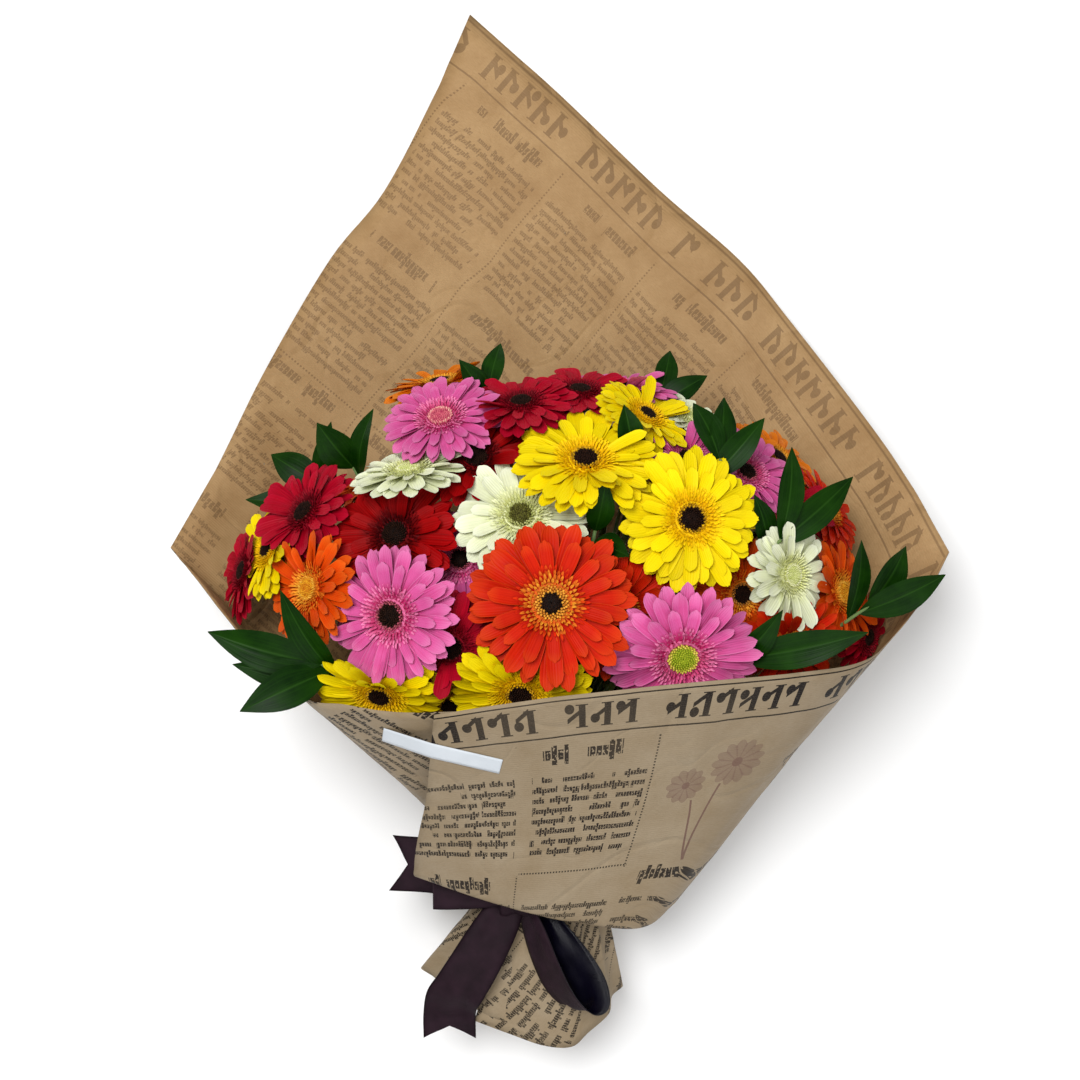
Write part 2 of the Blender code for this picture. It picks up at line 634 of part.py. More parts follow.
def nearest_between(a, b, c, d):
    """How far along a to b and along c to d the two segments are nearest."""
    first, second, gap = b - a, d - c, a - c
    aa, ee, ff = first.dot(first), second.dot(second), second.dot(gap)
    cc, bb = first.dot(gap), first.dot(second)
    below = aa * ee - bb * bb
    along_first = min(1.0, max(0.0, (bb * ff - cc * ee) / below)) if below > 1e-9 else 0.0
    along_second = (bb * along_first + ff) / ee
    if not 0.0 <= along_second <= 1.0:
        along_second = min(1.0, max(0.0, along_second))
        along_first = min(1.0, max(0.0, (bb * along_second - cc) / aa))
    return along_first, along_second


def push_apart(path, segment, part, move):
    """Moves a segment's free ends. A stem is held in the binding and where it meets its flower."""
    free = [(index, share) for index, share in ((segment, 1.0 - part), (segment + 1, part))
            if FIRST_FREE_POINT <= index < len(path) - 1]
    weight = max(0.3, sum(share * share for _, share in free))
    for index, share in free:
        path[index] += move * share / weight


def part_stems(paths, cups):
    """Moves the stems apart between the binding and the flowers, and clear of other flowers' cups."""
    for _ in range(PARTING_ROUNDS):
        still = True
        boxes = [tuple((min(point[axis] for point in path), max(point[axis] for point in path))
                       for axis in range(3)) for path in paths]
        for a in range(len(paths)):
            for b in range(a + 1, len(paths)):
                if any(boxes[a][axis][0] > boxes[b][axis][1] + STEM_ROOM
                       or boxes[b][axis][0] > boxes[a][axis][1] + STEM_ROOM for axis in range(3)):
                    continue
                for i in range(FIRST_FREE_POINT - 1, len(paths[a]) - 1):
                    for j in range(FIRST_FREE_POINT - 1, len(paths[b]) - 1):
                        s, t = nearest_between(paths[a][i], paths[a][i + 1], paths[b][j], paths[b][j + 1])
                        between = paths[b][j].lerp(paths[b][j + 1], t) - paths[a][i].lerp(paths[a][i + 1], s)
                        room = STEM_ROOM
                        if i == j == FIRST_FREE_POINT - 1:
                            room = STEM_PITCH + (STEM_ROOM - STEM_PITCH) * min(1.0, 2.2 * min(s, t))
                        if between.length < room:
                            push = between.normalized() * (room - between.length) * 0.55
                            push_apart(paths[a], i, s, -push)
                            push_apart(paths[b], j, t, push)
                            still = False
            for owner, centre, radius in cups:
                if owner == a:
                    continue
                for i in range(FIRST_FREE_POINT - 1, len(paths[a]) - 1):
                    s, _ = nearest_between(paths[a][i], paths[a][i + 1], centre, centre + UPWARD * 0.01)
                    away = paths[a][i].lerp(paths[a][i + 1], s) - centre
                    if away.length < radius:
                        push_apart(paths[a], i, s, away.normalized() * (radius - away.length))
                        still = False
        if still:
            return


def stem_path(slot, end, arriving, index):
    """The line of a stem from its cut end, through the binding, to end, arriving along a direction."""
    foot = BINDING + ACROSS * slot[0] + UPWARD * slot[1]
    stagger = (index * 5 % 7) / 7 * STEM_END_STAGGER
    start = foot + ALONG * STRAIGHT_PAST_BINDING
    distance = (end - start).length
    curve = [bezier(start, start + ALONG * distance * 0.3, end - arriving * distance * LONG_NECK, end,
                    step / STEM_STEPS) for step in range(STEM_STEPS + 1)]
    return [foot + ALONG * (STEM_END + stagger)] + curve


def tie_solid(slots):
    """The string that binds the stems: a band round all of them."""
    corners = [Vector((slot[0] + a * STEM_HALF_WIDTH, slot[1] + b * STEM_HALF_WIDTH))
               for slot in slots for a in (-1, 1) for b in (-1, 1)]
    hull = [corners[index] for index in convex_hull_2d(corners)]
    rings = []
    for offset in (TIE_GAP, TIE_GAP + TIE_THICKNESS):
        grown = []
        for index, corner in enumerate(hull):
            before = (corner - hull[index - 1]).normalized()
            after = (hull[(index + 1) % len(hull)] - corner).normalized()
            normal = Vector((before.y + after.y, -before.x - after.x)).normalized()
            spread_out = 1.0 / max(0.5, normal.dot(Vector((after.y, -after.x))))
            grown.append(corner + normal * offset * spread_out)
        rings.append(grown)
    points, faces = [], []
    count = len(hull)
    for ring, height in ((0, -1), (1, -1), (1, 1), (0, 1)):
        for corner in rings[ring]:
            points.append(BINDING + ALONG * height * TIE_HALF_LENGTH + ACROSS * corner.x + UPWARD * corner.y)
    for band in range(4):
        for index in range(count):
            a, b = band * count + index, band * count + (index + 1) % count
            c, d = (band + 1) % 4 * count + (index + 1) % count, (band + 1) % 4 * count + index
            faces.extend([(a, b, c), (a, c, d)])
    return facing_out((points, faces))


# The gerberas

def facing(tilt_deg, toward_deg):
    tilt, toward = math.radians(tilt_deg), math.radians(toward_deg)
    return Vector((math.sin(tilt) * math.cos(toward), math.sin(tilt) * math.sin(toward), math.cos(tilt)))


def zip_rings(low, high, low_start, high_start):
    """Triangles between two rings of different counts. Each start is the turn at which its ring begins."""
    faces = []
    a = b = 0
    while a < len(low) or b < len(high):
        next_low = low_start + (a + 1) / len(low)
        next_high = high_start + (b + 1) / len(high)
        low_now, high_now = low[a % len(low)], high[b % len(high)]
        if b == len(high) or (a < len(low) and next_low <= next_high):
            faces.append((low_now, low[(a + 1) % len(low)], high_now))
            a += 1
        else:
            faces.append((low_now, high[(b + 1) % len(high)], high_now))
            b += 1
    return faces


class Flower:
    """One gerbera: stem, cup, disc and two layers of petals, as one closed mesh."""

    def __init__(self, entry, slot, index):
        self.name, self.colour, middle, self.radius, tilt, toward, self.count = entry
        self.middle = Vector(middle)
        self.normal = facing(tilt, toward)
        self.path = stem_path(slot, self.middle - self.normal * NECK_DEPTH, self.normal, index)
        self.index = index

    def cup_room(self):
        """A ball round the disc and cup that other stems keep out of."""
        return self.index, self.middle - self.normal * CUP_ROOM, self.radius * ROOT_RING + CUP_ROOM

    def build(self):
        rings, side = square_rings(self.path, [STEM_HALF_WIDTH] * len(self.path), ACROSS)
        self.east = (side - self.normal * side.dot(self.normal)).normalized()
        self.north = self.normal.cross(self.east)
        self.phase = (self.index * 0.37) % 1.0 / self.count
        self.points, self.faces = [], []
        self.build_core(rings)

    def at(self, turn, distance, height):
        """A point at a turn round the disc, a distance from its middle and a height over it."""
        angle = 2 * math.pi * turn
        return (self.middle + self.east * distance * math.cos(angle)
                + self.north * distance * math.sin(angle) + self.normal * height)

    def add(self, points):
        first = len(self.points)
        self.points.extend(points)
        return list(range(first, first + len(points)))

    def ring(self, distance, height, extra_turn=0.0):
        turns = [self.phase + extra_turn + step / self.count for step in range(self.count)]
        return self.add([self.at(turn, distance, height) for turn in turns])

    def bridge(self, low, high):
        """Closes the wall between two rings of the same count, high half a step further round."""
        for step in range(len(low)):
            following = (step + 1) % len(low)
            self.faces.append((low[step], low[following], high[step]))
            self.faces.append((low[following], high[following], high[step]))

    def build_core(self, stem_rings):
        radius, half_step = self.radius, 0.5 / self.count
        rings = [self.add(ring) for ring in stem_rings]
        self.faces.extend([(rings[0][0], rings[0][1], rings[0][2]), (rings[0][0], rings[0][2], rings[0][3])])
        corner_turns = [0.125, 0.375, 0.625, 0.875]
        cup = self.add([self.at(turn, CUP_HALF_WIDTH * math.sqrt(2), -CUP_DEPTH) for turn in corner_turns])
        # A stem ring that runs the other way round than the flower's turns is read backwards.
        order = [0, 1, 2, 3] if self.turns_forward(stem_rings[-1]) else [0, 3, 2, 1]
        stem = [[ring[index] for index in order] for ring in rings]
        start = min(range(4), key=lambda index: (self.points[stem[-1][index]] - self.points[cup[0]]).length)
        stem = [ring[start:] + ring[:start] for ring in stem]
        for low, high in zip(stem, stem[1:] + [cup]):
            for step in range(4):
                following = (step + 1) % 4
                self.faces.append((low[step], low[following], high[following]))
                self.faces.append((low[step], high[following], high[step]))
        self.lower_bottom = self.ring(radius * ROOT_RING * 0.92, -LAYER_STEP - PETAL_THICKNESS)
        first_turn = self.phase
        while first_turn > 0.125:
            first_turn -= 1.0 / self.count
        shift = round((first_turn - self.phase) * self.count) % self.count
        rotated = self.lower_bottom[shift:] + self.lower_bottom[:shift]
        self.faces.extend(zip_rings(cup, rotated, 0.125, first_turn))
        self.lower_top = self.ring(radius * ROOT_RING * 0.92, -LAYER_STEP)
        self.upper_bottom = self.ring(radius * ROOT_RING, -PETAL_THICKNESS, half_step)
        self.upper_top = self.ring(radius * ROOT_RING, 0.0, half_step)
        self.bridge(self.lower_top, self.upper_bottom)
        disc = self.ring(radius * DISC_RING, DISC_RISE)
        middle = self.add([self.at(0.0, 0.0, DISC_CENTRE_RISE)])[0]
        self.bridge(self.upper_top, disc[1:] + disc[:1])
        for step in range(self.count):
            self.faces.append((disc[step], disc[(step + 1) % self.count], middle))
        self.core_faces = list(self.faces)

    def turns_forward(self, ring):
        first = ring[0] - self.path[-1]
        second = ring[1] - self.path[-1]
        return first.cross(second).dot(self.normal) > 0

    def petal_points(self, upper, step, lift, reach, grow=0.0):
        """Left, tip, right, upper middle and lower middle points of one petal."""
        root = self.radius * (ROOT_RING if upper else ROOT_RING * 0.92)
        full = self.radius * (UPPER_REACH if upper else 1.0)
        length = (full - root) * reach + grow
        base_height = -PETAL_THICKNESS / 2 if upper else -LAYER_STEP - PETAL_THICKNESS / 2
        first_turn = self.phase + (0.5 / self.count if upper else 0.0)
        middle_turn = first_turn + (step + 0.5) / self.count
        half = PETAL_FILL * 0.5 / self.count + grow / (2 * math.pi * full)

        def place(turn, part, angle, thick):
            out = root + length * part * math.cos(angle)
            up = base_height + length * part * math.sin(angle) + thick
            return self.at(turn, out, up)

        thick = PETAL_THICKNESS / 2 + grow
        return [place(middle_turn - half, PETAL_WIDEST, lift, 0.0),
                place(middle_turn, 1.0, lift - TIP_CURL, 0.0),
                place(middle_turn + half, PETAL_WIDEST, lift, 0.0),
                place(middle_turn, PETAL_MIDDLE, lift, thick),
                place(middle_turn, PETAL_MIDDLE, lift, -thick)]

    def petal_faces(self, roots, tips):
        """The triangles of one petal: roots are its four root points, tips its own five points."""
        top_a, top_b, low_a, low_b = roots
        left, tip, right, high, low = tips
        return [(top_a, left, high), (left, tip, high), (tip, right, high), (right, top_b, high),
                (top_b, top_a, high), (left, low_a, low), (tip, left, low), (right, tip, low),
                (low_b, right, low), (low_a, low_b, low), (top_b, right, low_b), (left, top_a, low_a)]

    def add_petal(self, upper, step, obstacles):
        """Adds the petal that stays nearest its natural place and clears everything around it."""
        tops, lows = (self.upper_top, self.upper_bottom) if upper else (self.lower_top, self.lower_bottom)
        following = (step + 1) % self.count
        roots = (tops[step], tops[following], lows[step], lows[following])
        root_points = [self.points[index] for index in roots]
        base = UPPER_LIFT if upper else LOWER_LIFT
        faces = self.petal_faces((0, 1, 2, 3), (4, 5, 6, 7, 8))
        for clearance, reach, lift in PETAL_TRIALS:
            angle = base + lift if upper else base - lift
            trial = root_points + self.petal_points(upper, step, angle, reach, clearance)
            if not any(tree.overlap(BVHTree.FromPolygons(trial, faces)) for tree in obstacles):
                tips = self.add(self.petal_points(upper, step, angle, reach))
                self.faces.extend(self.petal_faces(roots, tips))
                return
        raise ValueError(f"no room for petal {step} of {self.name}")

    def reserve(self):
        """The core with a short stub for every petal, which other flowers' petals keep out of."""
        points, faces = list(self.points), list(self.core_faces)
        for upper, tops, lows, lift in ((True, self.upper_top, self.upper_bottom, UPPER_LIFT),
                                        (False, self.lower_top, self.lower_bottom, LOWER_LIFT)):
            for step in range(self.count):
                following = (step + 1) % self.count
                roots = (tops[step], tops[following], lows[step], lows[following])
                first = len(points)
                points.extend(self.petal_points(upper, step, lift, RESERVED_REACH))
                faces.extend(self.petal_faces(roots, tuple(range(first, first + 5))))
        return points, faces

    def solid(self):
        return facing_out((self.points, self.faces))


def make_gerberas(flowers, other_solids):
    """Grows every flower's petals in turn, clear of all that is already there."""
    grown = []
    reserves = [flower.reserve() for flower in flowers]
    for index, flower in enumerate(flowers):
        around = reserves[:index] + reserves[index + 1:] + other_solids
        obstacles = [tree_of(around)]
        if grown:
            obstacles.append(tree_of(grown))
        for upper in (True, False):
            for step in range(flower.count):
                flower.add_petal(upper, step, obstacles)
        grown.append(flower.solid())


# The ruscus

def leaf_solid(base, tip, width, away):
    """A pointed blade, folded a little along its middle and arched from end to end."""
    along = tip - base
    length = along.length
    along.normalize()
    side = along.cross(away).normalized()
    up = side.cross(along).normalized()
    half_thick = LEAF_THICKNESS / 2

    def place(part, across, lift):
        arch = LEAF_ARCH * length * math.sin(math.pi * part)
        fold = LEAF_FOLD * width * abs(across)
        return base + along * length * part + side * across * width / 2 + up * (arch + fold + lift)

    points = [place(0.0, 0.0, half_thick), place(0.0, 0.0, -half_thick), place(1.0, 0.0, 0.0)]
    for sign in (1.0, -1.0):
        points.extend(place(part, sign * across, 0.0) for part, across in LEAF_OUTLINE)
    for lift in (half_thick, -half_thick):
        points.extend(place(part, 0.0, lift) for part in (0.35, 0.7))
    base_top, base_low, end = 0, 1, 2
    faces = []
    for first, near, far, root, turned in ((3, 9, 10, base_top, False), (6, 9, 10, base_top, True),
                                           (3, 11, 12, base_low, True), (6, 11, 12, base_low, False)):
        a, b, c = first, first + 1, first + 2
        side_faces = [(root, a, near), (a, b, near), (b, far, near), (b, c, far), (c, end, far)]
        faces.extend(tuple(reversed(face)) if turned else face for face in side_faces)
    faces.extend([(base_low, 3, base_top), (base_top, 6, base_low)])
    return facing_out((points, faces))


class Sprig:
    """One ruscus stem with its leaves."""

    def __init__(self, entry, slot, index):
        self.name, end, self.blades = entry
        self.end = Vector(end)
        self.arriving = (self.end - BINDING).normalized()
        self.path = stem_path(slot, self.end, self.arriving, index)

    def build(self):
        count = len(self.path)
        thinning = (SPRIG_TIP_HALF_WIDTH - STEM_HALF_WIDTH) / (count - 2)
        half_widths = [STEM_HALF_WIDTH] + [STEM_HALF_WIDTH + thinning * step for step in range(count - 1)]
        rings, _ = square_rings(self.path, half_widths, ACROSS)
        points = [point for ring in rings for point in ring]
        faces = [(0, 1, 2), (0, 2, 3)]
        last = (count - 1) * 4
        faces.extend([(last + 2, last + 1, last), (last + 3, last + 2, last)])
        for ring in range(count - 1):
            for step in range(4):
                a, b = ring * 4 + step, ring * 4 + (step + 1) % 4
                faces.extend([(a, a + 4, b + 4), (a, b + 4, b)])
        self.stem = facing_out((points, faces))
        last_way = (self.path[-1] - self.path[-2]).normalized()
        away = (self.end - BUNCH_MIDDLE).normalized()
        self.leaves = [leaf_solid(self.end - last_way * (back + LEAF_SINK), Vector(tip), width, away)
                       for tip, back, width in self.blades]

    def solids(self):
        return [self.stem] + self.leaves

    def make(self, material):
        sprig = make_object(self.name, self.stem, material)
        for leaf in self.leaves:
            join_with(sprig, make_object("ruscus_leaf", leaf, material))


def main():
    for item in list(bpy.data.objects):
        bpy.data.objects.remove(item)
    materials = {name: make_material(name) for name in COLOURS}

    ends = [Vector(entry[2]) - facing(entry[4], entry[5]) * NECK_DEPTH for entry in GERBERAS]
    ends += [Vector(entry[1]) for entry in SPRIGS]
    slots = assign_slots(ends)
    flowers = [Flower(entry, slots[index], index) for index, entry in enumerate(GERBERAS)]
    sprigs = [Sprig(entry, slots[len(GERBERAS) + index], index + 3) for index, entry in enumerate(SPRIGS)]
    part_stems([piece.path for piece in flowers + sprigs], [flower.cup_room() for flower in flowers])
    for piece in flowers + sprigs:
        piece.build()

    paper = thick_sheet(paper_rows(), PAPER_THICKNESS)
    make_object("paper_wrap", paper, materials["paper_kraft"])
    make_ribbon(materials["ribbon_satin"])
    make_object("label_sticker", label_solid(tree_of([paper])), materials["label_white"])
    make_object("stem_tie", tie_solid(slots), materials["tie_string"])

    make_gerberas(flowers, [paper] + [solid for sprig in sprigs for solid in sprig.solids()])
    for flower in flowers:
        make_object(flower.name, flower.solid(), materials[flower.colour])
    for sprig in sprigs:
        sprig.make(materials["leaf_green"])


main()
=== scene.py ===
# The looks of a hand-tied gerbera bouquet in a printed kraft paper wrap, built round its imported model.
# Places are in millimetres in the design frame of the model and become metres when a mesh is made.

import math
import random

import bpy
import numpy as np
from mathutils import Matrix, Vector, noise
from mathutils.bvhtree import BVHTree


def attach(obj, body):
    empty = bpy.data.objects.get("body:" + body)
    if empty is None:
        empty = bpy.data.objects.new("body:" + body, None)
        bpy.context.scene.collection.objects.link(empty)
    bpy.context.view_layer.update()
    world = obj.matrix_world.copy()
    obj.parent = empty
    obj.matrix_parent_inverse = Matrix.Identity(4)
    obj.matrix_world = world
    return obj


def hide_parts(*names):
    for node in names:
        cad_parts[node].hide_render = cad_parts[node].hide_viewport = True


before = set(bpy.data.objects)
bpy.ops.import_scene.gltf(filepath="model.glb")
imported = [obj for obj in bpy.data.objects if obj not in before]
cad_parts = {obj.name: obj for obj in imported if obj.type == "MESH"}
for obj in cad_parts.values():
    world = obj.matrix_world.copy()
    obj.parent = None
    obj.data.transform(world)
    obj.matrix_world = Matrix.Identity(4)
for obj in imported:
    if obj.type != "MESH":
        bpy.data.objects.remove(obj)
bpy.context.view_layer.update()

MM = 0.001
ORIGIN_SHIFT = Vector((-12.5, -273.0, 0.0))
BODY = "root"

# The axis of the bunch and the stems, as in the model.
AXIS_TILT = math.radians(14.0)
ACROSS = Vector((1.0, 0.0, 0.0))
ALONG = Vector((0.0, math.cos(AXIS_TILT), math.sin(AXIS_TILT)))
UPWARD = ACROSS.cross(ALONG)
BINDING = Vector((0.0, 24.0, 62.0))
# In the binding the stems lie a pitch apart, in a bunch so many times wider than high. They are straight
# there and in the foot, where they don't all end at one height.
STEM_PITCH = 5.3
BUNCH_FLATTENING = 1.5
STEM_END = -72.0
STEM_END_STAGGER = 9.0
STRAIGHT_PAST_BINDING = 20.0
# From there each stem curves to its flower in steps, and its free points are moved until the stems have
# room between them and between them and the cups.
STEM_STEPS = 5
FIRST_FREE_POINT = 2
STEM_ROOM = 7.2
PARTING_ROUNDS = 200
CUP_ROOM = 5.0
LONG_NECK = 0.36
NECK_DEPTH = 20.0
ROOT_RING = 0.36
BLOOM_STEM_RADIUS = 2.35
SPRIG_STEM_RADII = (2.1, 1.1)

# The paper, as in the model.
PAPER_MODEL_THICKNESS = 1.0
PAPER_FLOOR_MID = PAPER_MODEL_THICKNESS / 2
WAIST_HALF_WIDTH = 44.0
WAIST_HALF_HEIGHT = 27.5
WAIST_HALF_LENGTH = 19.0
PLEAT_DEPTH = 2.2
OVERLAP_PLEAT_DEPTH = 0.6
OVERLAP_STEP = 4.0
FOOT_CENTRE_X = -13.0
FOOT_HALF_WIDTH = 69.0
FOOT_HALF_HEIGHT = 39.0
FOOT_PLEAT_DEPTH = 2.5
FLOOR_REACHED_AT = 190.0
# A line of the sheet with its rim as high as this doesn't lie down on the floor at all.
STANDING_RIM_HEIGHT = 60.0
# Each line from the foot to the rim: where it meets the rim, its angle round the waist, and the y of its
# foot end.
PAPER_LINES = [
    ((-30.0, 154.0, 225.0), -20.0, -80.0),
    ((-81.0, 152.0, 221.0), 8.0, -74.0),
    ((-118.0, 156.0, 212.0), 28.0, -66.0),
    ((-147.0, 160.0, 196.0), 47.0, -56.0),
    ((-189.0, 192.0, 155.0), 65.0, -49.0),
    ((-235.0, 240.0, 118.0), 80.0, -45.0),
    ((-247.0, 251.0, 105.0), 92.0, -44.0),
    ((-226.0, 305.0, 56.0), 106.0, -48.0),
    ((-198.0, 378.0, 16.0), 121.0, -54.0),
    ((-153.0, 460.0, 2.0), 136.0, -58.0),
    ((-113.0, 511.0, 0.5), 150.0, -61.0),
    ((-73.0, 588.0, 0.5), 164.0, -63.0),
    ((-51.0, 639.0, 0.5), 178.0, -64.0),
    ((15.0, 580.0, 0.5), 192.0, -64.0),
    ((87.0, 511.0, 0.5), 206.0, -63.0),
    ((145.0, 460.0, 2.0), 220.0, -62.0),
    ((180.0, 415.0, 12.0), 234.0, -60.0),
    ((232.0, 337.0, 46.0), 249.0, -58.0),
    ((256.0, 290.0, 80.0), 262.0, -57.0),
    ((272.0, 248.0, 112.0), 275.0, -58.0),
    ((255.0, 223.0, 132.0), 288.0, -63.0),
    ((223.0, 192.0, 160.0), 302.0, -73.0),
    ((200.0, 180.0, 185.0), 316.0, -84.0),
    ((158.0, 175.0, 207.0), 331.0, -92.0),
    ((96.0, 171.0, 226.0), 347.0, -90.0),
    ((12.0, 163.0, 236.0), 366.0, -82.0),
    ((-63.0, 152.0, 234.0), 388.0, -74.0),
]
PEAK_LINE = 12
# From this line on the sheet folds over at the front: where, and how much of the fold the line has.
FIRST_FOLD_LINE = 17
FOLD_POINTS = [
    ((80.0, 34.0, 50.0), 0.2),
    ((86.0, 20.0, 58.0), 0.65),
    ((88.0, 8.0, 68.0), 1.0),
    ((80.0, 1.0, 82.0), 1.0),
    ((70.0, -4.0, 94.0), 1.0),
    ((56.0, -4.0, 103.0), 1.0),
    ((34.0, 0.0, 110.0), 1.0),
    ((4.0, 6.0, 114.0), 1.0),
    ((-36.0, 17.0, 114.0), 1.0),
    ((-81.0, 31.5, 109.0), 1.0),
]
FOLD_BULGE = 5.0
TURN_PAST_WAIST = 6.0
TURN_OUTWARD = 5.0
# The rows between the waist and the rim, each with how deep its pleats still are, and the rows over the
# fold of the lines that fold.
BODY_ROWS = [(0.04, 1.0), (0.09, 0.9), (0.15, 0.75), (0.23, 0.5),
             (0.37, 0.25), (0.54, 0.0), (0.76, 0.0), (1.0, 0.0)]
FOLD_ROWS_UP = [0.07, 0.26, 0.5, 0.75, 1.0]
WAIST_ROW = 3

# What only the looks have of the paper.
PAPER_THICKNESS = 0.4
PAPER_STEPS_ROUND = 7
PAPER_STEPS_ALONG = 6
WRINKLE_DEPTH = 2.2
WRINKLE_FADE = 110.0
CRUMPLE_DEPTH = 0.7
# The print on the foot lies apart from the rest on the flat sheet, where no drawings are, and aslant.
FOOT_MAP_START = 900.0
FOOT_MAP_SCALE = 1.5
FOOT_MAP_TURN = 64.0
FIRST_FOOT_BLOCK = 7.0
# The lines of the sheet that end in a corner, and how many lines away the sheet is curved again.
SHEET_CORNERS = [6, 12, 19]
CORNER_REACH = 1.6
# How many rows at the rim show which way the sheet runs there, and over how many columns that is evened
# out.
RIM_ROWS = 8
TURN_COLUMNS = 21

# The ribbon, as in the model. Points of the hanging loop have a half width and how far it leans from
# upright to level, those of the left loop, all at one y, a half width, and so have those of the tails.
BAND_GAP = 0.8
BAND_HALF_WIDTH = 17.0
BAND_STEPS = 24
RIBBON_MODEL_THICKNESS = 1.2
KNOT_CENTRE = Vector((-16.0, 17.0, 97.0))
KNOT_HALF_SIZE = Vector((13.0, 13.0, 6.0))
KNOT_STEPS = 14
HANGING_LOOP = [(-12, 16, 94, 7, 0.6), (-5, -4, 97, 13, 0.6), (3, -26, 101, 16, 0.6),
                (13, -46, 103, 17, 0.62), (25, -58, 103, 17, 0.66), (33, -54, 102, 17, 0.74),
                (29, -38, 101, 17, 0.88), (18, -18, 99, 15, 0.92), (4, 6, 94, 8, 0.85)]
LEFT_LOOP_Y = 21.0
LEFT_LOOP = [(-14, 100, 8), (-38, 102, 12), (-60, 100, 13.5), (-72, 96, 14),
             (-63, 92.5, 13.5), (-42, 92.5, 12), (-14, 95, 8)]
# Each tail with its ripple and the depth of the notch in its end.
TAILS = [
    ([(-20, 14, 95, 11), (-27, 0, 96, 14), (-36, -16, 96, 16), (-45, -32, 94, 17),
      (-54, -47, 91, 17.5), (-60, -57, 86, 18), (-62, -70, 76, 18), (-62, -86, 73, 18)], 0.9, 9.0),
    ([(-14, 17, 94, 9), (-42, 22, 87, 12), (-70, 33, 83, 18), (-102, 35, 77, 19)], 0.8, 12.0),
]
RIBBON_THICKNESS = 0.5

LABEL_LEFT_END = (-97.0, 136.0)
LABEL_RIGHT_END = (-24.0, 116.5)
LABEL_WIDTH = 10.0
LABEL_HEIGHT_OVER_PAPER = 0.6
LABEL_THICKNESS = 0.3
LABEL_STEPS = 90
LABEL_COLUMNS = 6

# Each gerbera as in the model: name, petal colour, middle of its disc, radius, how far it turns from
# facing straight up, and which way it turns.
GERBERAS = [
    ("scarlet_centre", "scarlet", (7, 218, 225), 52, 7, 90),
    ("scarlet_behind", "scarlet", (47, 213, 194), 44, 12, 320),
    ("yellow_top", "yellow", (28, 306, 198), 46, 44, 88),
    ("yellow_right", "yellow", (93, 269, 204), 46, 14, 40),
    ("white_centre", "white", (-12, 272, 200), 44, 26, 98),
    ("cream_left", "white", (-82, 300, 186), 38, 68, 98),
    ("pink_left", "pink", (-91, 210, 212), 45, 22, 190),
    ("pink_right", "pink", (87, 184, 210), 48, 24, 285),
    ("pink_top", "pink", (-63, 334, 168), 40, 44, 100),
    ("dark_red_left", "dark_red", (-90, 260, 192), 42, 26, 125),
    ("crimson_left", "crimson", (-150, 274, 164), 38, 50, 140),
    ("orange_left", "orange", (-144, 226, 188), 38, 42, 170),
    ("crimson_far_left", "crimson", (-194, 236, 134), 34, 62, 165),
    ("yellow_far_left", "yellow", (-174, 250, 158), 34, 52, 155),
    ("yellow_front_left", "yellow", (-99, 160, 196), 42, 44, 255),
    ("yellow_front_low", "yellow", (-56, 152, 176), 38, 42, 265),
    ("yellow_front", "yellow", (-12, 162, 208), 45, 38, 268),
    ("crimson_front", "crimson", (-55, 190, 202), 38, 12, 250),
    ("dark_red_top", "dark_red", (-40, 308, 178), 38, 36, 92),
    ("amber_top", "amber", (-66, 360, 122), 40, 72, 100),
    ("crimson_top_left", "crimson", (-12, 344, 163), 36, 56, 95),
    ("crimson_top_right", "crimson", (26, 353, 146), 36, 62, 86),
    ("pink_top_right", "pink", (56, 357, 126), 37, 72, 84),
    ("yellow_side", "yellow", (68, 336, 162), 35, 58, 58),
    ("white_small", "white", (97, 336, 140), 32, 62, 60),
    ("amber_right", "amber", (125, 318, 136), 34, 56, 55),
    ("pink_inner", "pink", (92, 307, 174), 36, 36, 60),
    ("pink_upper_right", "pink", (131, 299, 164), 36, 40, 55),
    ("crimson_right", "crimson", (162, 278, 148), 34, 46, 40),
    ("amber_far_right", "amber", (156, 310, 128), 34, 58, 50),
    ("red_right", "scarlet", (190, 276, 122), 34, 60, 35),
    ("white_right", "white", (158, 234, 178), 37, 40, 5),
    ("orange_right", "orange", (127, 222, 174), 37, 22, 340),
    ("coral_far_right", "orange", (196, 222, 142), 37, 50, 15),
    ("red_front_right", "scarlet", (158, 190, 176), 37, 30, 320),
    ("dark_far_right", "crimson", (216, 192, 122), 30, 50, 350),
    ("pink_between", "pink", (-50, 244, 182), 36, 14, 120),
    ("orange_rear_left", "orange", (-118, 296, 84), 36, 76, 125),
    ("yellow_rear", "yellow", (-6, 334, 84), 36, 84, 92),
    ("pink_rear_right", "pink", (128, 296, 84), 36, 76, 55),
]
# The blooms whose centre isn't dark.
CENTRE_TONES = {
    "pink_right": "green",
    "cream_left": "pale",
    "white_small": "pale",
    "white_right": "pale",
    "orange_left": "golden",
    "coral_far_right": "golden",
    "pink_top": "rosy",
    "white_centre": "olive",
}
# Blooms whose petals stand up more than the rest, in degrees.
RAISED_PETALS = {"scarlet_behind": 16.0}

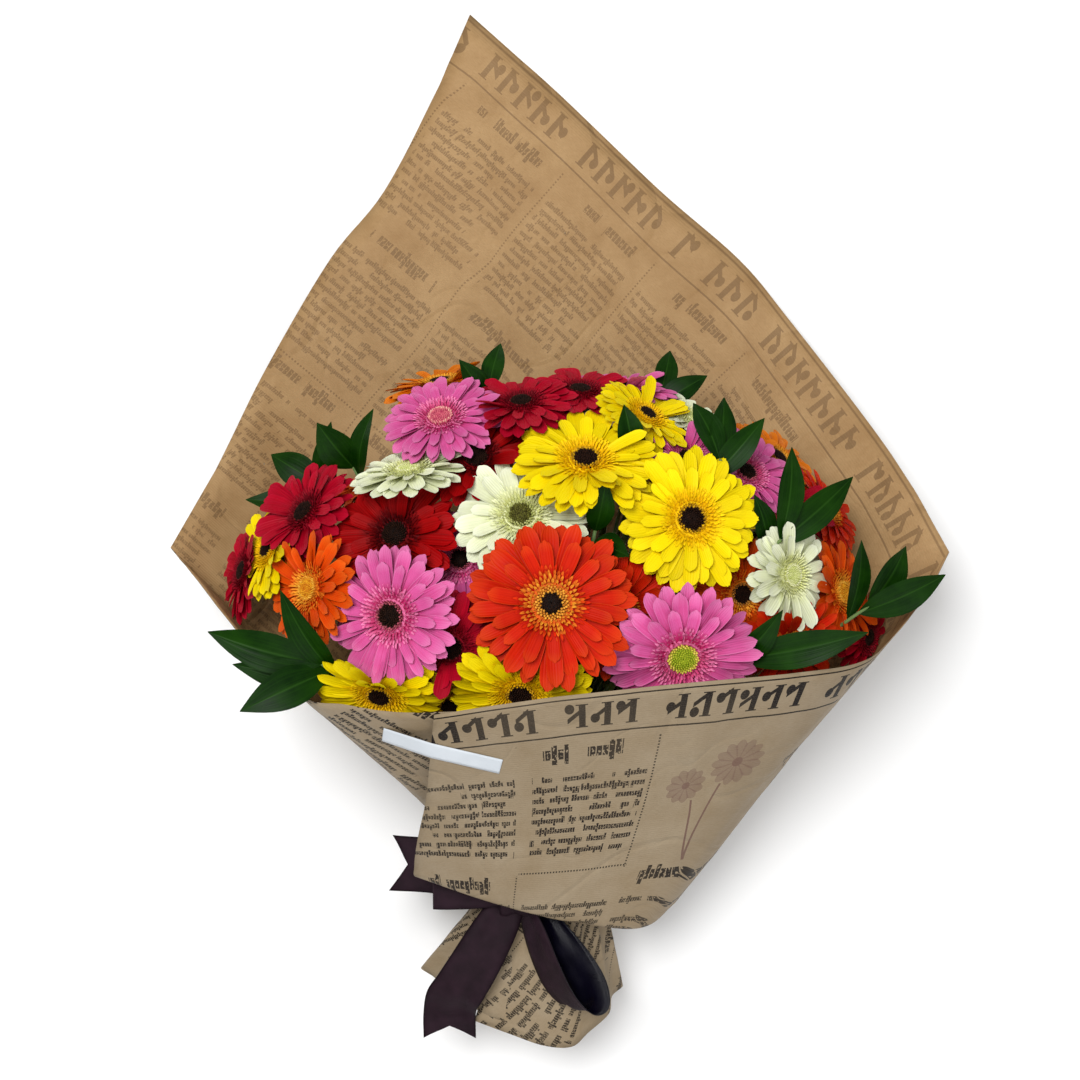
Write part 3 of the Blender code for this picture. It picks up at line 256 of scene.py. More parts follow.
# Each ruscus sprig as in the model: name, end of its stem, and for each leaf where its tip is, how far
# before the end of the stem it starts, and its width.
SPRIGS = [
    ("left", (-134, 180, 200), [((-203, 200, 206), 0, 25), ((-182, 152, 214), 7, 25),
                                ((-156, 226, 224), 14, 21), ((-188, 180, 205), 18, 22)]),
    ("upper_left", (-120, 303, 150), [((-141, 330, 168), 0, 24), ((-104, 338, 182), 8, 18)]),
    ("left_rear", (-142, 292, 134), [((-176, 312, 130), 0, 22), ((-134, 332, 152), 10, 21),
                                     ((-190, 282, 146), 20, 21)]),
    ("top", (-34, 352, 136), [((-26, 386, 118), 0, 15), ((-52, 372, 150), 8, 17)]),
    ("top_right", (80, 352, 106), [((88, 384, 92), 0, 16), ((112, 366, 104), 8, 18)]),
    ("middle", (34, 262, 196), [((40, 292, 222), 0, 17), ((54, 246, 214), 8, 18)]),
    ("upper_middle", (58, 306, 182), [((52, 340, 190), 0, 18), ((70, 292, 206), 8, 17)]),
    ("upper_right", (112, 306, 190), [((96, 342, 178), 0, 19), ((116, 346, 172), 7, 18),
                                      ((140, 332, 184), 14, 18)]),
    ("right", (150, 256, 186), [((157, 314, 184), 0, 19), ((198, 296, 168), 8, 21),
                                ((132, 284, 196), 14, 18)]),
    ("far_right", (210, 214, 158), [((234, 252, 156), 0, 22), ((258, 234, 162), 8, 22),
                                    ((207, 256, 148), 16, 17)]),
    ("front_right", (122, 184, 196), [((199, 200, 214), 2, 23), ((146, 214, 222), 13, 20)]),
]
LEAF_SINK = 0.8
BUNCH_MIDDLE = Vector((0.0, 200.0, 90.0))
LEAF_FOLD = 0.1
LEAF_ARCH = 0.08
LEAF_TURN_UP = 1.3

# How the petals of a bloom are laid out: how many, where they start and end as parts of the radius, their
# width as a part of their length, how high they start, and their lift at the root and at the tip.
LAYERS = [
    (18, 0.2, 1.0, 0.31, -3.4, 4.0, -12.0),
    (17, 0.2, 0.94, 0.33, -1.7, 9.0, -6.0),
    (11, 0.21, 0.74, 0.36, -0.6, 15.0, 2.0),
]
# Colours with more and narrower petals than the rest: how many times as many, and how many times as wide.
PETAL_CROWDING = {
    "scarlet": (1.3, 0.8),
    "orange": (1.2, 0.84),
    "yellow": (1.4, 0.86),
    "pink": (1.25, 0.8),
    "amber": (1.15, 0.87),
}
PETAL_PARTS = np.array([0.0, 0.16, 0.32, 0.48, 0.62, 0.74, 0.84, 0.92, 0.97, 1.0])
COARSE_PARTS = np.array([0.0, 0.3, 0.6, 0.85, 1.0])
# The rings of small florets, from outside in: distance, how many, length, lift.
FRINGE_RINGS = [(0.4, 44, 0.085, 28.0), (0.35, 42, 0.085, 38.0), (0.3, 38, 0.08, 50.0),
                (0.255, 34, 0.075, 60.0), (0.215, 28, 0.06, 72.0)]
FRINGE_WIDTH = 0.017
# Along a floret, and along a bract of the cup: how far, as a part of its length, and how wide, as a part
# of its width. For a floret also how far it is bent up there, as a part of its length.
FLORET_ROWS = ((0.0, 0.7, 0.0), (0.45, 1.0, 0.05), (0.8, 0.8, 0.0), (1.0, 0.12, -0.12))
BRACT_ROWS = ((0.0, 0.9), (0.5, 1.0), (1.0, 0.1))
# The rows of bracts: distance, height, length, lift and how far each is turned from the first row.
BRACT_RINGS = [(0.17, -9.6, 0.17, 34.0, 0.0), (0.2, -8.2, 0.2, 22.0, 0.5)]
BRACT_COUNT = 16
BRACT_WIDTH = 0.032
CENTRE_REACH = 0.19
# How far out the closed buds of a centre go, as a part of its reach.
CLOSED_PART = 0.8
CLOSED_PARTS = {"scarlet": 0.62, "crimson": 0.95, "dark_red": 0.95}
CENTRE_RISE = 3.0
CENTRE_DIMPLE = 1.2
CENTRE_BUDS = 130
# The sides of a bud, its size as a part of the radius, and its height for its size.
BUD_SIDES = 5
BUD_SIZE = 0.0155
OPEN_BUD_HEIGHT = 2.6
CLOSED_BUD_HEIGHT = 1.9
# The disc under the buds, by parts of the centre's reach, and the disc under the florets, by parts of the
# radius, each with its height.
CENTRE_DISC = [(0.05, 1.7), (0.35, 2.2), (0.7, 1.2), (1.0, -0.2)]
FLORET_DISC = [(CENTRE_REACH, -0.2), (0.3, -0.3), (0.38, -0.8), (0.44, -2.6)]
RING_SIDES = 16
# How far out other blooms' petals keep away, as a part of the radius.
CORE_PART = 0.44
CORE_SIDES = 8
LIFT_TRIALS = [0.0, 7.0, -7.0, 14.0, -14.0, 21.0, -21.0, 28.0, 35.0, -28.0, 43.0]
REACH_TRIALS = [1.0, 0.9, 0.8, 0.68, 0.56]
PETAL_COLUMNS = 6
COARSE_COLUMNS = 2
PETAL_SAMPLES = 20
STEM_SMOOTHING = 5
# The materials of a bloom, by their numbers in its mesh.
SKIN, FLORET, DISC, OPEN_BUD, GREEN = range(5)

# The stage, in metres: each light with its place, size and power, the floor, and the camera that looks
# straight down.
LIGHTS = [
    ("key", (-0.4, 0.45, 1.95), 0.9, 34.0),
    ("fill", (0.8, -1.0, 1.7), 1.2, 8.0),
    ("low", (0.0, -1.7, 1.1), 1.2, 6.5),
]
LIT_POINT = Vector((0.0, 0.0, 0.1))
SKY_STRENGTH = 0.37
FLOOR_REACH = 6.0
FLOOR_Z = -0.0004
CAMERA_PLACE = (-0.0125, -0.017, 1.27)
CAMERA_LENS = 58.07

random.seed(7)


# Meshes

class Shape:
    """Points, faces and texture places of one piece, gathered before its mesh is made."""

    def __init__(self):
        self.points, self.faces, self.kinds, self.places, self.seeds = [], [], [], [], []
        self.count = 0

    def add(self, points, faces, kinds, places=None, seed=(0.0, 0.0)):
        """Kinds is the number of the faces' material, or a list with one number for each face."""
        points = np.asarray(points, dtype=float).reshape(-1, 3)
        if places is None:
            places = np.zeros((len(points), 2))
        self.points.append(points)
        self.faces.extend([tuple(index + self.count for index in face) for face in faces])
        self.kinds.extend(kinds if isinstance(kinds, list) else [kinds] * len(faces))
        self.places.append(np.asarray(places, dtype=float).reshape(-1, 2))
        self.seeds.append(np.tile(seed, (len(points), 1)))
        self.count += len(points)

    def make(self, name, materials, slot, replaced):
        """Makes the mesh, in metres, lets it ride on the body and hides the model's part that it stands for.
        """
        points = (np.concatenate(self.points) + np.array(ORIGIN_SHIFT)) * MM
        mesh = bpy.data.meshes.new(name)
        mesh.from_pydata(points.tolist(), [], self.faces)
        for material in materials:
            mesh.materials.append(material)
        mesh.polygons.foreach_set("material_index", self.kinds)
        mesh.polygons.foreach_set("use_smooth", [True] * len(self.faces))
        corner_points = np.empty(len(mesh.loops), dtype=int)
        mesh.loops.foreach_get("vertex_index", corner_points)
        for layer_name, values in (("place", self.places), ("seed", self.seeds)):
            layer = mesh.uv_layers.new(name=layer_name)
            layer.data.foreach_set("uv", np.concatenate(values)[corner_points].ravel())
        mesh.update()
        piece = bpy.data.objects.new(name, mesh)
        bpy.context.collection.objects.link(piece)
        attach(piece, BODY)
        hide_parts(replaced)
        return piece


def grid_faces(rows, columns, closed=False):
    """Faces over a grid of points with so many rows and columns of points."""
    faces = []
    for r in range(rows - 1):
        for c in range(columns if closed else columns - 1):
            following = (c + 1) % columns
            faces.append((r * columns + c, r * columns + following,
                          (r + 1) * columns + following, (r + 1) * columns + c))
    return faces


def smooth_line(points, steps):
    """Points on a smooth curve through the given ones, so many steps between each two."""
    points = np.asarray(points, dtype=float)
    before = np.concatenate([2 * points[:1] - points[1:2], points[:-1]])
    after = np.concatenate([points[1:], 2 * points[-1:] - points[-2:-1]])
    slopes = (after - before) / 2
    parts = np.linspace(0.0, 1.0, steps, endpoint=False)
    result = []
    for index in range(len(points) - 1):
        start, end = points[index], points[index + 1]
        leaving, arriving = slopes[index], slopes[index + 1]
        for t in parts:
            result.append(start * (2 * t ** 3 - 3 * t ** 2 + 1) + leaving * (t ** 3 - 2 * t ** 2 + t)
                          + end * (3 * t ** 2 - 2 * t ** 3) + arriving * (t ** 3 - t ** 2))
    result.append(points[-1])
    return np.array(result)


def smooth_grid(grid, steps_down, steps_across):
    """Smooths a grid of points along its rows and its columns."""
    finer = smooth_line(grid, steps_down)
    return np.swapaxes(smooth_line(np.swapaxes(finer, 0, 1), steps_across), 0, 1)


def run_lengths(points):
    """How far each point of a line, or each row of a grid, is from the first, along the way."""
    steps = np.linalg.norm(np.diff(points, axis=0), axis=-1)
    return np.concatenate([np.zeros((1,) + steps.shape[1:]), np.cumsum(steps, axis=0)])


def grid_normals(grid):
    """The direction across the surface at each point of a grid."""
    down = np.gradient(grid, axis=0)
    across = np.gradient(grid, axis=1)
    normals = np.cross(across, down)
    lengths = np.linalg.norm(normals, axis=2, keepdims=True)
    return normals / np.maximum(lengths, 1e-9)


def add_tube(shape, path, radii, kind, sides=8):
    """A round tube along a path, closed at both ends."""
    path = [Vector(point) for point in path]
    side = ACROSS
    rings, places = [], []
    for index, point in enumerate(path):
        forward = (path[min(index + 1, len(path) - 1)] - path[max(index - 1, 0)]).normalized()
        side = (side - forward * side.dot(forward)).normalized()
        up = side.cross(forward)
        for step in range(sides):
            angle = 2 * math.pi * step / sides
            rings.append(point + (side * math.cos(angle) + up * math.sin(angle)) * radii[index])
            places.append((step / sides, index / len(path)))
    faces = grid_faces(len(path), sides, closed=True)
    faces.append(tuple(reversed(range(sides))))
    last = (len(path) - 1) * sides
    faces.append(tuple(range(last, last + sides)))
    shape.add(rings, faces, kind, places, (random.random(), 0.0))


# Shader graphs

class Graph:
    """Short calls that add nodes to a material."""

    def __init__(self, name):
        self.material = bpy.data.materials.new(name)
        self.material.use_nodes = True
        self.nodes = self.material.node_tree.nodes
        self.links = self.material.node_tree.links
        self.shader = self.nodes["Principled BSDF"]

    def put(self, socket, value):
        if isinstance(value, bpy.types.NodeSocket):
            self.links.new(value, socket)
        else:
            socket.default_value = value

    def node(self, kind, inputs=(), **settings):
        node = self.nodes.new(kind)
        for name, value in settings.items():
            setattr(node, name, value)
        for name, value in inputs:
            self.put(node.inputs[name], value)
        return node

    def math(self, operation, first, second=0.0):
        node = self.node("ShaderNodeMath", operation=operation)
        self.put(node.inputs[0], first)
        self.put(node.inputs[1], second)
        return node.outputs[0]

    def add(self, first, second):
        return self.math("ADD", first, second)

    def minus(self, first, second):
        return self.math("SUBTRACT", first, second)

    def times(self, *values):
        product = values[0]
        for value in values[1:]:
            product = self.math("MULTIPLY", product, value)
        return product

    def over(self, value, limit):
        return self.math("GREATER_THAN", value, limit)

    def under(self, value, limit):
        return self.math("LESS_THAN", value, limit)

    def most(self, *values):
        highest = values[0]
        for value in values[1:]:
            highest = self.math("MAXIMUM", highest, value)
        return highest

    def size(self, value):
        return self.math("ABSOLUTE", value)

    def off_middle(self, value):
        """How far a value from 0 to 1 is from the middle."""
        return self.size(self.add(value, -0.5))

    def between(self, value, low, high):
        return self.times(self.over(value, low), self.under(value, high))

    def cell(self, value, size):
        return self.math("FLOOR", self.times(value, 1.0 / size))

    def part(self, value, size):
        return self.math("FRACT", self.times(value, 1.0 / size))

    def vector(self, x, y, z=0.0):
        return self.node("ShaderNodeCombineXYZ", [("X", x), ("Y", y), ("Z", z)]).outputs[0]

    def chance(self, x, y):
        """Three chance values that change from cell to cell."""
        node = self.node("ShaderNodeTexWhiteNoise", [("Vector", self.vector(x, y))], noise_dimensions="2D")
        split = self.node("ShaderNodeSeparateColor", [("Color", node.outputs["Color"])])
        return tuple(split.outputs)

    def noise(self, place, scale, detail=2.0, roughness=0.5):
        node = self.node("ShaderNodeTexNoise", [("Vector", place), ("Scale", scale), ("Detail", detail),
                                                ("Roughness", roughness)])
        return node.outputs["Fac"]

    def map(self, value, low, high, new_low, new_high):
        node = self.node("ShaderNodeMapRange", [("Value", value), ("From Min", low), ("From Max", high),
                                                ("To Min", new_low), ("To Max", new_high)])
        return node.outputs[0]

    def blend(self, value, first, second, low=0.3, high=0.7):
        """The first colour where the value is low and the second where it is high."""
        return self.mix(self.map(value, low, high, 0.0, 1.0), first, second)

    def mix(self, factor, first, second):
        node = self.node("ShaderNodeMix", data_type="RGBA")
        self.put(node.inputs[0], factor)
        self.put(node.inputs[6], (*first, 1.0) if isinstance(first, tuple) else first)
        self.put(node.inputs[7], (*second, 1.0) if isinstance(second, tuple) else second)
        return node.outputs[2]

    def brighter(self, colour, value):
        node = self.node("ShaderNodeHueSaturation", [("Color", colour), ("Value", value)])
        return node.outputs[0]

    def uv(self, name):
        node = self.node("ShaderNodeUVMap", uv_map=name)
        split = self.node("ShaderNodeSeparateXYZ", [("Vector", node.outputs[0])])
        return split.outputs["X"], split.outputs["Y"]

    def here(self):
        return self.node("ShaderNodeTexCoord").outputs["Object"]

    def streaks(self, across_scale, along_scale, seed_scale, detail, roughness=0.5):
        """Noise drawn out along a petal or leaf, another one for each seed."""
        across, along = self.uv("place")
        seed, _ = self.uv("seed")
        place = self.vector(self.times(across, across_scale), self.times(along, along_scale),
                            self.times(seed, seed_scale))
        return self.noise(place, 1.0, detail, roughness)

    def bump(self, height, strength, distance):
        node = self.node("ShaderNodeBump", [("Height", height), ("Strength", strength),
                                            ("Distance", distance)])
        self.put(self.shader.inputs["Normal"], node.outputs[0])

    def finish(self, colour, roughness, **fixed):
        self.put(self.shader.inputs["Base Color"], colour)
        self.put(self.shader.inputs["Roughness"], roughness)
        for name, value in fixed.items():
            self.shader.inputs[name.replace("_", " ")].default_value = value
        return self.material


def darker(colour, share):
    return tuple(part * share for part in colour)


def petal_material(name, root, main, edge, streak):
    """Petal skin: root, middle and edge colours, darker veins and a change from petal to petal."""
    graph = Graph(name)
    across, along = graph.uv("place")
    seed, _ = graph.uv("seed")
    veins = graph.streaks(9.0, 0.7, 90.0, 3.0, 0.6)
    patches = graph.streaks(1.2, 2.0, 40.0, 1.0)
    colour = graph.blend(along, root, main, 0.05, 0.5)
    colour = graph.mix(graph.map(along, 0.72, 1.0, 0.0, 0.55), colour, edge)
    colour = graph.mix(graph.map(veins, 0.5, 0.8, 0.0, streak), colour, root)
    colour = graph.mix(graph.map(graph.off_middle(across), 0.44, 0.5, 0.0, 0.55), colour, edge)
    shade = graph.add(graph.times(patches, 0.22), graph.times(seed, 0.2))
    colour = graph.brighter(colour, graph.map(shade, 0.0, 0.42, 0.75, 1.12))
    ribs = graph.math("SINE", graph.times(across, 38.0))
    graph.bump(graph.add(graph.times(ribs, 0.3), veins), 0.35, 0.0006)
    return graph.finish(colour, graph.map(veins, 0.2, 0.8, 0.42, 0.62), Specular_IOR_Level=0.07)


def spotted_material(name, first, second):
    """Two colours mixed in fine grains, with the grains raised a little."""
    graph = Graph(name)
    seed, _ = graph.uv("seed")
    grains = graph.noise(graph.here(), 500.0, 3.0, 0.6)
    colour = graph.blend(graph.add(grains, graph.times(seed, 0.3)), first, second, 0.4, 0.85)
    graph.bump(grains, 0.5, 0.0005)
    return graph.finish(colour, graph.map(grains, 0.3, 0.7, 0.52, 0.7), Specular_IOR_Level=0.08)


def fringe_material(name, outer, inner):
    """Small florets whose colour goes from the outer rings to the inner ones, with some chance."""
    graph = Graph(name)
    seed, ring = graph.uv("seed")
    grains = graph.noise(graph.here(), 400.0, 3.0, 0.6)
    factor = graph.add(graph.times(ring, 1.1), graph.times(graph.add(seed, -0.5), 0.5))
    colour = graph.blend(factor, outer, inner, 0.1, 0.9)
    colour = graph.brighter(colour, graph.map(grains, 0.3, 0.7, 0.75, 1.15))
    graph.bump(grains, 0.4, 0.0004)
    return graph.finish(colour, graph.map(grains, 0.3, 0.7, 0.5, 0.7), Specular_IOR_Level=0.08)


def leaf_material():
    """Waxy ruscus leaf: fine veins along the blade and a paler midrib."""
    graph = Graph("leaf_waxy")
    across, _ = graph.uv("place")
    veins = graph.streaks(26.0, 0.8, 60.0, 2.0)
    tone = graph.noise(graph.here(), 60.0, 3.0, 0.55)
    colour = graph.blend(tone, (0.0013, 0.013, 0.0003), (0.006, 0.033, 0.0006))
    colour = graph.mix(graph.map(veins, 0.45, 0.75, 0.0, 0.45), colour, (0.01, 0.046, 0.0012))
    rib = graph.map(graph.off_middle(across), 0.0, 0.045, 0.6, 0.0)
    colour = graph.mix(rib, colour, (0.02, 0.07, 0.006))
    graph.bump(graph.add(graph.times(veins, 0.8), graph.times(rib, -1.2)), 0.4, 0.0005)
    return graph.finish(colour, graph.map(tone, 0.2, 0.8, 0.34, 0.48), Specular_IOR_Level=0.08)


def stem_material():
    """Pale green stem with fine down, darker in places."""
    graph = Graph("stem_green")
    tone = graph.noise(graph.here(), 45.0, 3.0, 0.55)
    down = graph.noise(graph.here(), 1400.0)
    colour = graph.blend(tone, (0.06, 0.13, 0.02), (0.14, 0.22, 0.045), 0.3, 0.75)
    graph.bump(down, 0.5, 0.0004)
    return graph.finish(colour, graph.map(down, 0.3, 0.7, 0.5, 0.7), Sheen_Weight=0.3)


def text_marks(graph, x, y, pitch, mark, row_seed):
    """Rows of small upright marks in words, which aren't letters, pitch apart, each mark wide."""
    line, in_line = graph.add(graph.cell(y, pitch), row_seed), graph.part(y, pitch)
    height, depth, _ = graph.chance(graph.cell(x, mark), line)
    words_place = graph.vector(graph.times(x, 1.25 / pitch), graph.times(line, 5.37))
    words = graph.over(graph.noise(words_place, 1.0, 0.0), 0.38)
    body = graph.between(in_line, 0.26, 0.68)
    tall = graph.times(graph.between(in_line, 0.06, 0.68), graph.over(height, 0.76))
    low = graph.times(graph.between(in_line, 0.3, 0.9), graph.over(depth, 0.84))
    strokes_place = graph.vector(graph.times(x, 2.3 / mark), graph.times(y, 7.0 / pitch))
    strokes = graph.over(graph.noise(strokes_place, 1.0, 1.0), 0.4)
    gaps = graph.between(graph.part(x, mark), 0.06, 0.9)
    return graph.times(words, graph.most(body, tall, low), strokes, gaps)


def greeked_text(graph, x, y, size):
    """Print in columns: rows of marks of the given size, with headings and dotted rules, and apart from
    it flower drawings."""
    column_width, block_height = 96.0, 118.8
    pitch, mark = 7.2 * size, 1.6 * size
    block_lines = block_height / pitch
    last_line = math.floor(block_lines) - 1
    drawing_size = 1.0 + 0.6 * (size - 1.0)
    column, in_column = graph.cell(x, column_width), graph.part(x, column_width)
    block, in_block = graph.cell(y, block_height), graph.part(y, block_height)
    kind, shift, picture = graph.chance(column, block)
    drawn = graph.times(graph.over(picture, 0.82), graph.over(graph.part(block, 2.0), 0.25),
                        graph.under(block, FIRST_FOOT_BLOCK))
    down = graph.times(in_block, block_height)
    row_seed = graph.times(block, 31.0)
    line = graph.add(graph.cell(down, pitch), row_seed)
    ragged = graph.map(graph.chance(column, line)[2], 0.75, 1.0, 0.93, 0.45)
    text = graph.times(text_marks(graph, x, down, pitch, mark, row_seed),
                       graph.over(in_column, 0.06), graph.under(in_column, ragged),
                       graph.between(in_block, 3.0 / block_lines, last_line / block_lines),
                       graph.under(drawn, 0.5))
    heading = graph.times(text_marks(graph, x, down, pitch * 2.2, mark * 2.1, row_seed),
                          graph.between(in_column, 0.2, 0.84), graph.over(kind, 0.35),
                          graph.under(in_block, 2.2 / block_lines))
    rule = graph.times(graph.between(in_block, 0.978, 0.99), graph.under(graph.part(x, 2.6), 0.5),
                       graph.over(shift, 0.3))
    side = graph.times(graph.between(in_column, 0.01, 0.023), graph.under(graph.part(y, 2.6), 0.5),
                       graph.over(kind, 0.55))
    middle_x = graph.times(graph.add(in_column, -0.5), column_width / drawing_size)
    middle_y = graph.times(graph.add(in_block, -0.5), block_height / drawing_size)
    drawing = graph.times(rosettes(graph, middle_x, middle_y), drawn)
    return graph.most(text, heading, rule, side), drawing


def rosettes(graph, x, y):
    """A soft drawing of two many-petalled flowers on curved stems that meet below."""
    ink = 0.0
    for flower_x, flower_y, radius, petals in ((-13.0, -22.0, 17.0, 13.0), (17.0, -8.0, 13.0, 11.0)):
        away_x, away_y = graph.add(x, -flower_x), graph.add(y, -flower_y)
        reach = graph.math("SQRT", graph.add(graph.times(away_x, away_x), graph.times(away_y, away_y)))
        turn = graph.math("ARCTAN2", away_y, away_x)
        wave = graph.size(graph.math("COSINE", graph.times(turn, petals / 2)))
        outline = graph.times(graph.add(graph.times(wave, 0.2), 0.8), radius)
        fill = graph.times(graph.under(reach, outline), graph.map(wave, 0.0, 0.5, 0.9, 0.5))
        sweep = graph.times(graph.math("SQRT", graph.most(away_y, 0.0)),
                            -flower_x / math.sqrt(50.0 - flower_y))
        stem = graph.times(graph.under(graph.size(graph.minus(away_x, sweep)), 0.7),
                           graph.between(y, flower_y + radius * 0.9, 50.0))
        ink = graph.most(ink, fill, graph.under(reach, radius * 0.2), stem)
    return ink


def headline(graph, x, y):
    """A band along the sheet's long edge: two rules, and between them tall strokes that aren't letters."""
    rules = graph.most(graph.between(y, 3.0, 4.3), graph.between(y, 34.0, 35.3))
    width = 16.0
    pick, other, third = graph.chance(graph.cell(x, width), 3.0)
    inside = graph.part(x, width)
    thick = graph.times(graph.between(inside, 0.12, 0.38), graph.between(y, 8.5, 29.0))
    serifs = graph.most(graph.between(y, 28.0, 29.0), graph.between(y, 8.5, 9.5))
    foot = graph.times(graph.between(inside, 0.02, 0.5), serifs)
    lean = graph.add(graph.times(inside, 15.0), graph.map(pick, 0.0, 1.0, 3.0, 11.0))
    slanted = graph.times(graph.under(graph.size(graph.minus(y, lean)), 2.1),
                          graph.between(inside, 0.3, 0.84))
    drop_x = graph.times(graph.add(inside, -0.74), width)
    drop_y = graph.minus(y, graph.map(other, 0.0, 1.0, 12.0, 25.0))
    away = graph.add(graph.times(drop_x, drop_x), graph.times(drop_y, drop_y, 0.5))
    marks = graph.most(thick, foot, slanted, graph.under(away, 9.0))
    return graph.most(rules, graph.times(marks, graph.over(third, 0.12)))


def paper_material(name, pale, deep, ink_colour, drawing_colour, strength, print_size):
    """Kraft paper: fibres, faint ribs and soft dents, with worn print of the given strength and size."""
    graph = Graph(name)
    u, v = graph.uv("place")
    x, y = graph.times(u, 1000.0), graph.times(v, 1000.0)
    flat = graph.vector(x, y)
    text, drawing = greeked_text(graph, graph.add(x, 66.0), graph.add(y, 78.0), print_size)
    below = graph.over(y, 40.0)
    ink = graph.most(graph.times(headline(graph, x, y), graph.under(y, 36.5)), graph.times(text, below))
    worn = graph.map(graph.noise(flat, 0.9, 2.0), 0.3, 0.5, 0.88, 1.0)
    faded = graph.map(graph.noise(flat, 0.012, 2.0), 0.35, 0.6, 0.85, 1.0)
    fibres = graph.noise(graph.vector(graph.times(x, 0.35), graph.times(y, 1.6)), 1.0, 4.0, 0.65)
    ribs = graph.math("SINE", graph.times(y, 3.4))
    clouds = graph.noise(flat, 0.02, 4.0, 0.7)
    colour = graph.blend(clouds, pale, deep)
    colour = graph.mix(graph.map(fibres, 0.45, 0.8, 0.0, 0.28), colour, darker(deep, 0.55))
    wear = graph.times(worn, faded, strength)
    colour = graph.mix(graph.times(drawing, below, wear, 0.75), colour, drawing_colour)
    colour = graph.mix(graph.times(ink, wear), colour, ink_colour)
    height = graph.add(graph.times(fibres, 0.35), graph.times(ribs, 0.1))
    height = graph.add(height, graph.times(graph.noise(graph.here(), 16.0, 3.0, 0.45), 2.5))
    for scale, width, depth in ((0.006, 0.012, 1.6), (0.014, 0.02, 0.8)):
        off_crease = graph.off_middle(graph.noise(flat, scale, 1.0))
        height = graph.add(height, graph.map(off_crease, 0.0, width, depth, 0.0))
    graph.bump(height, 0.35, 0.0012)
    return graph.finish(colour, graph.map(fibres, 0.3, 0.8, 0.5, 0.7), Specular_IOR_Level=0.14)


def satin_material(name, base, shine, roughness, gloss):
    """Satin ribbon: fine threads across and along, and a woven edge."""
    graph = Graph(name)
    across, along = graph.uv("place")
    weft = graph.math("SINE", graph.times(along, 16000.0))
    warp = graph.math("SINE", graph.times(across, 700.0))
    tone = graph.noise(graph.here(), 90.0)
    edge = graph.over(graph.off_middle(across), 0.465)
    colour = graph.mix(graph.times(edge, 0.5), graph.blend(tone, base, shine), darker(base, 0.5))
    threads = graph.add(graph.times(weft, 0.5), graph.times(warp, 0.4))
    graph.bump(graph.add(threads, graph.times(edge, 1.5)), 0.3, 0.0002)
    return graph.finish(colour, graph.map(tone, 0.3, 0.7, roughness, roughness + 0.1),
                        Specular_IOR_Level=gloss, Anisotropic=0.3)


def label_material():
    """Smooth white label stock with a faint grain and slightly soiled edges."""
    graph = Graph("label_stock")
    across, _ = graph.uv("place")
    grain = graph.noise(graph.here(), 700.0, 3.0, 0.6)
    clouds = graph.noise(graph.here(), 60.0)
    colour = graph.blend(clouds, (0.6, 0.64, 0.68), (0.54, 0.58, 0.62))
    edge = graph.map(graph.off_middle(across), 0.44, 0.5, 0.0, 0.3)
    colour = graph.mix(edge, colour, (0.5, 0.5, 0.5))
    graph.bump(grain, 0.15, 0.0002)
    return graph.finish(colour, graph.map(grain, 0.3, 0.7, 0.35, 0.5), Specular_IOR_Level=0.3)


def raffia_material():
    """Dry raffia: pale and darker fibres along each turn."""
    graph = Graph("raffia")
    across, along = graph.uv("place")
    fibres = graph.noise(graph.vector(graph.times(across, 30.0), graph.times(along, 4.0)), 1.0, 3.0, 0.6)
    colour = graph.blend(fibres, (0.34, 0.22, 0.09), (0.66, 0.5, 0.27))
    graph.bump(fibres, 0.6, 0.0005)
    return graph.finish(colour, graph.map(fibres, 0.3, 0.7, 0.55, 0.8))


def floor_material():
    graph = Graph("floor_pale")
    tone = graph.noise(graph.here(), 3.0)
    return graph.finish(graph.blend(tone, (0.93, 0.93, 0.93), (0.91, 0.91, 0.91)), 0.85)


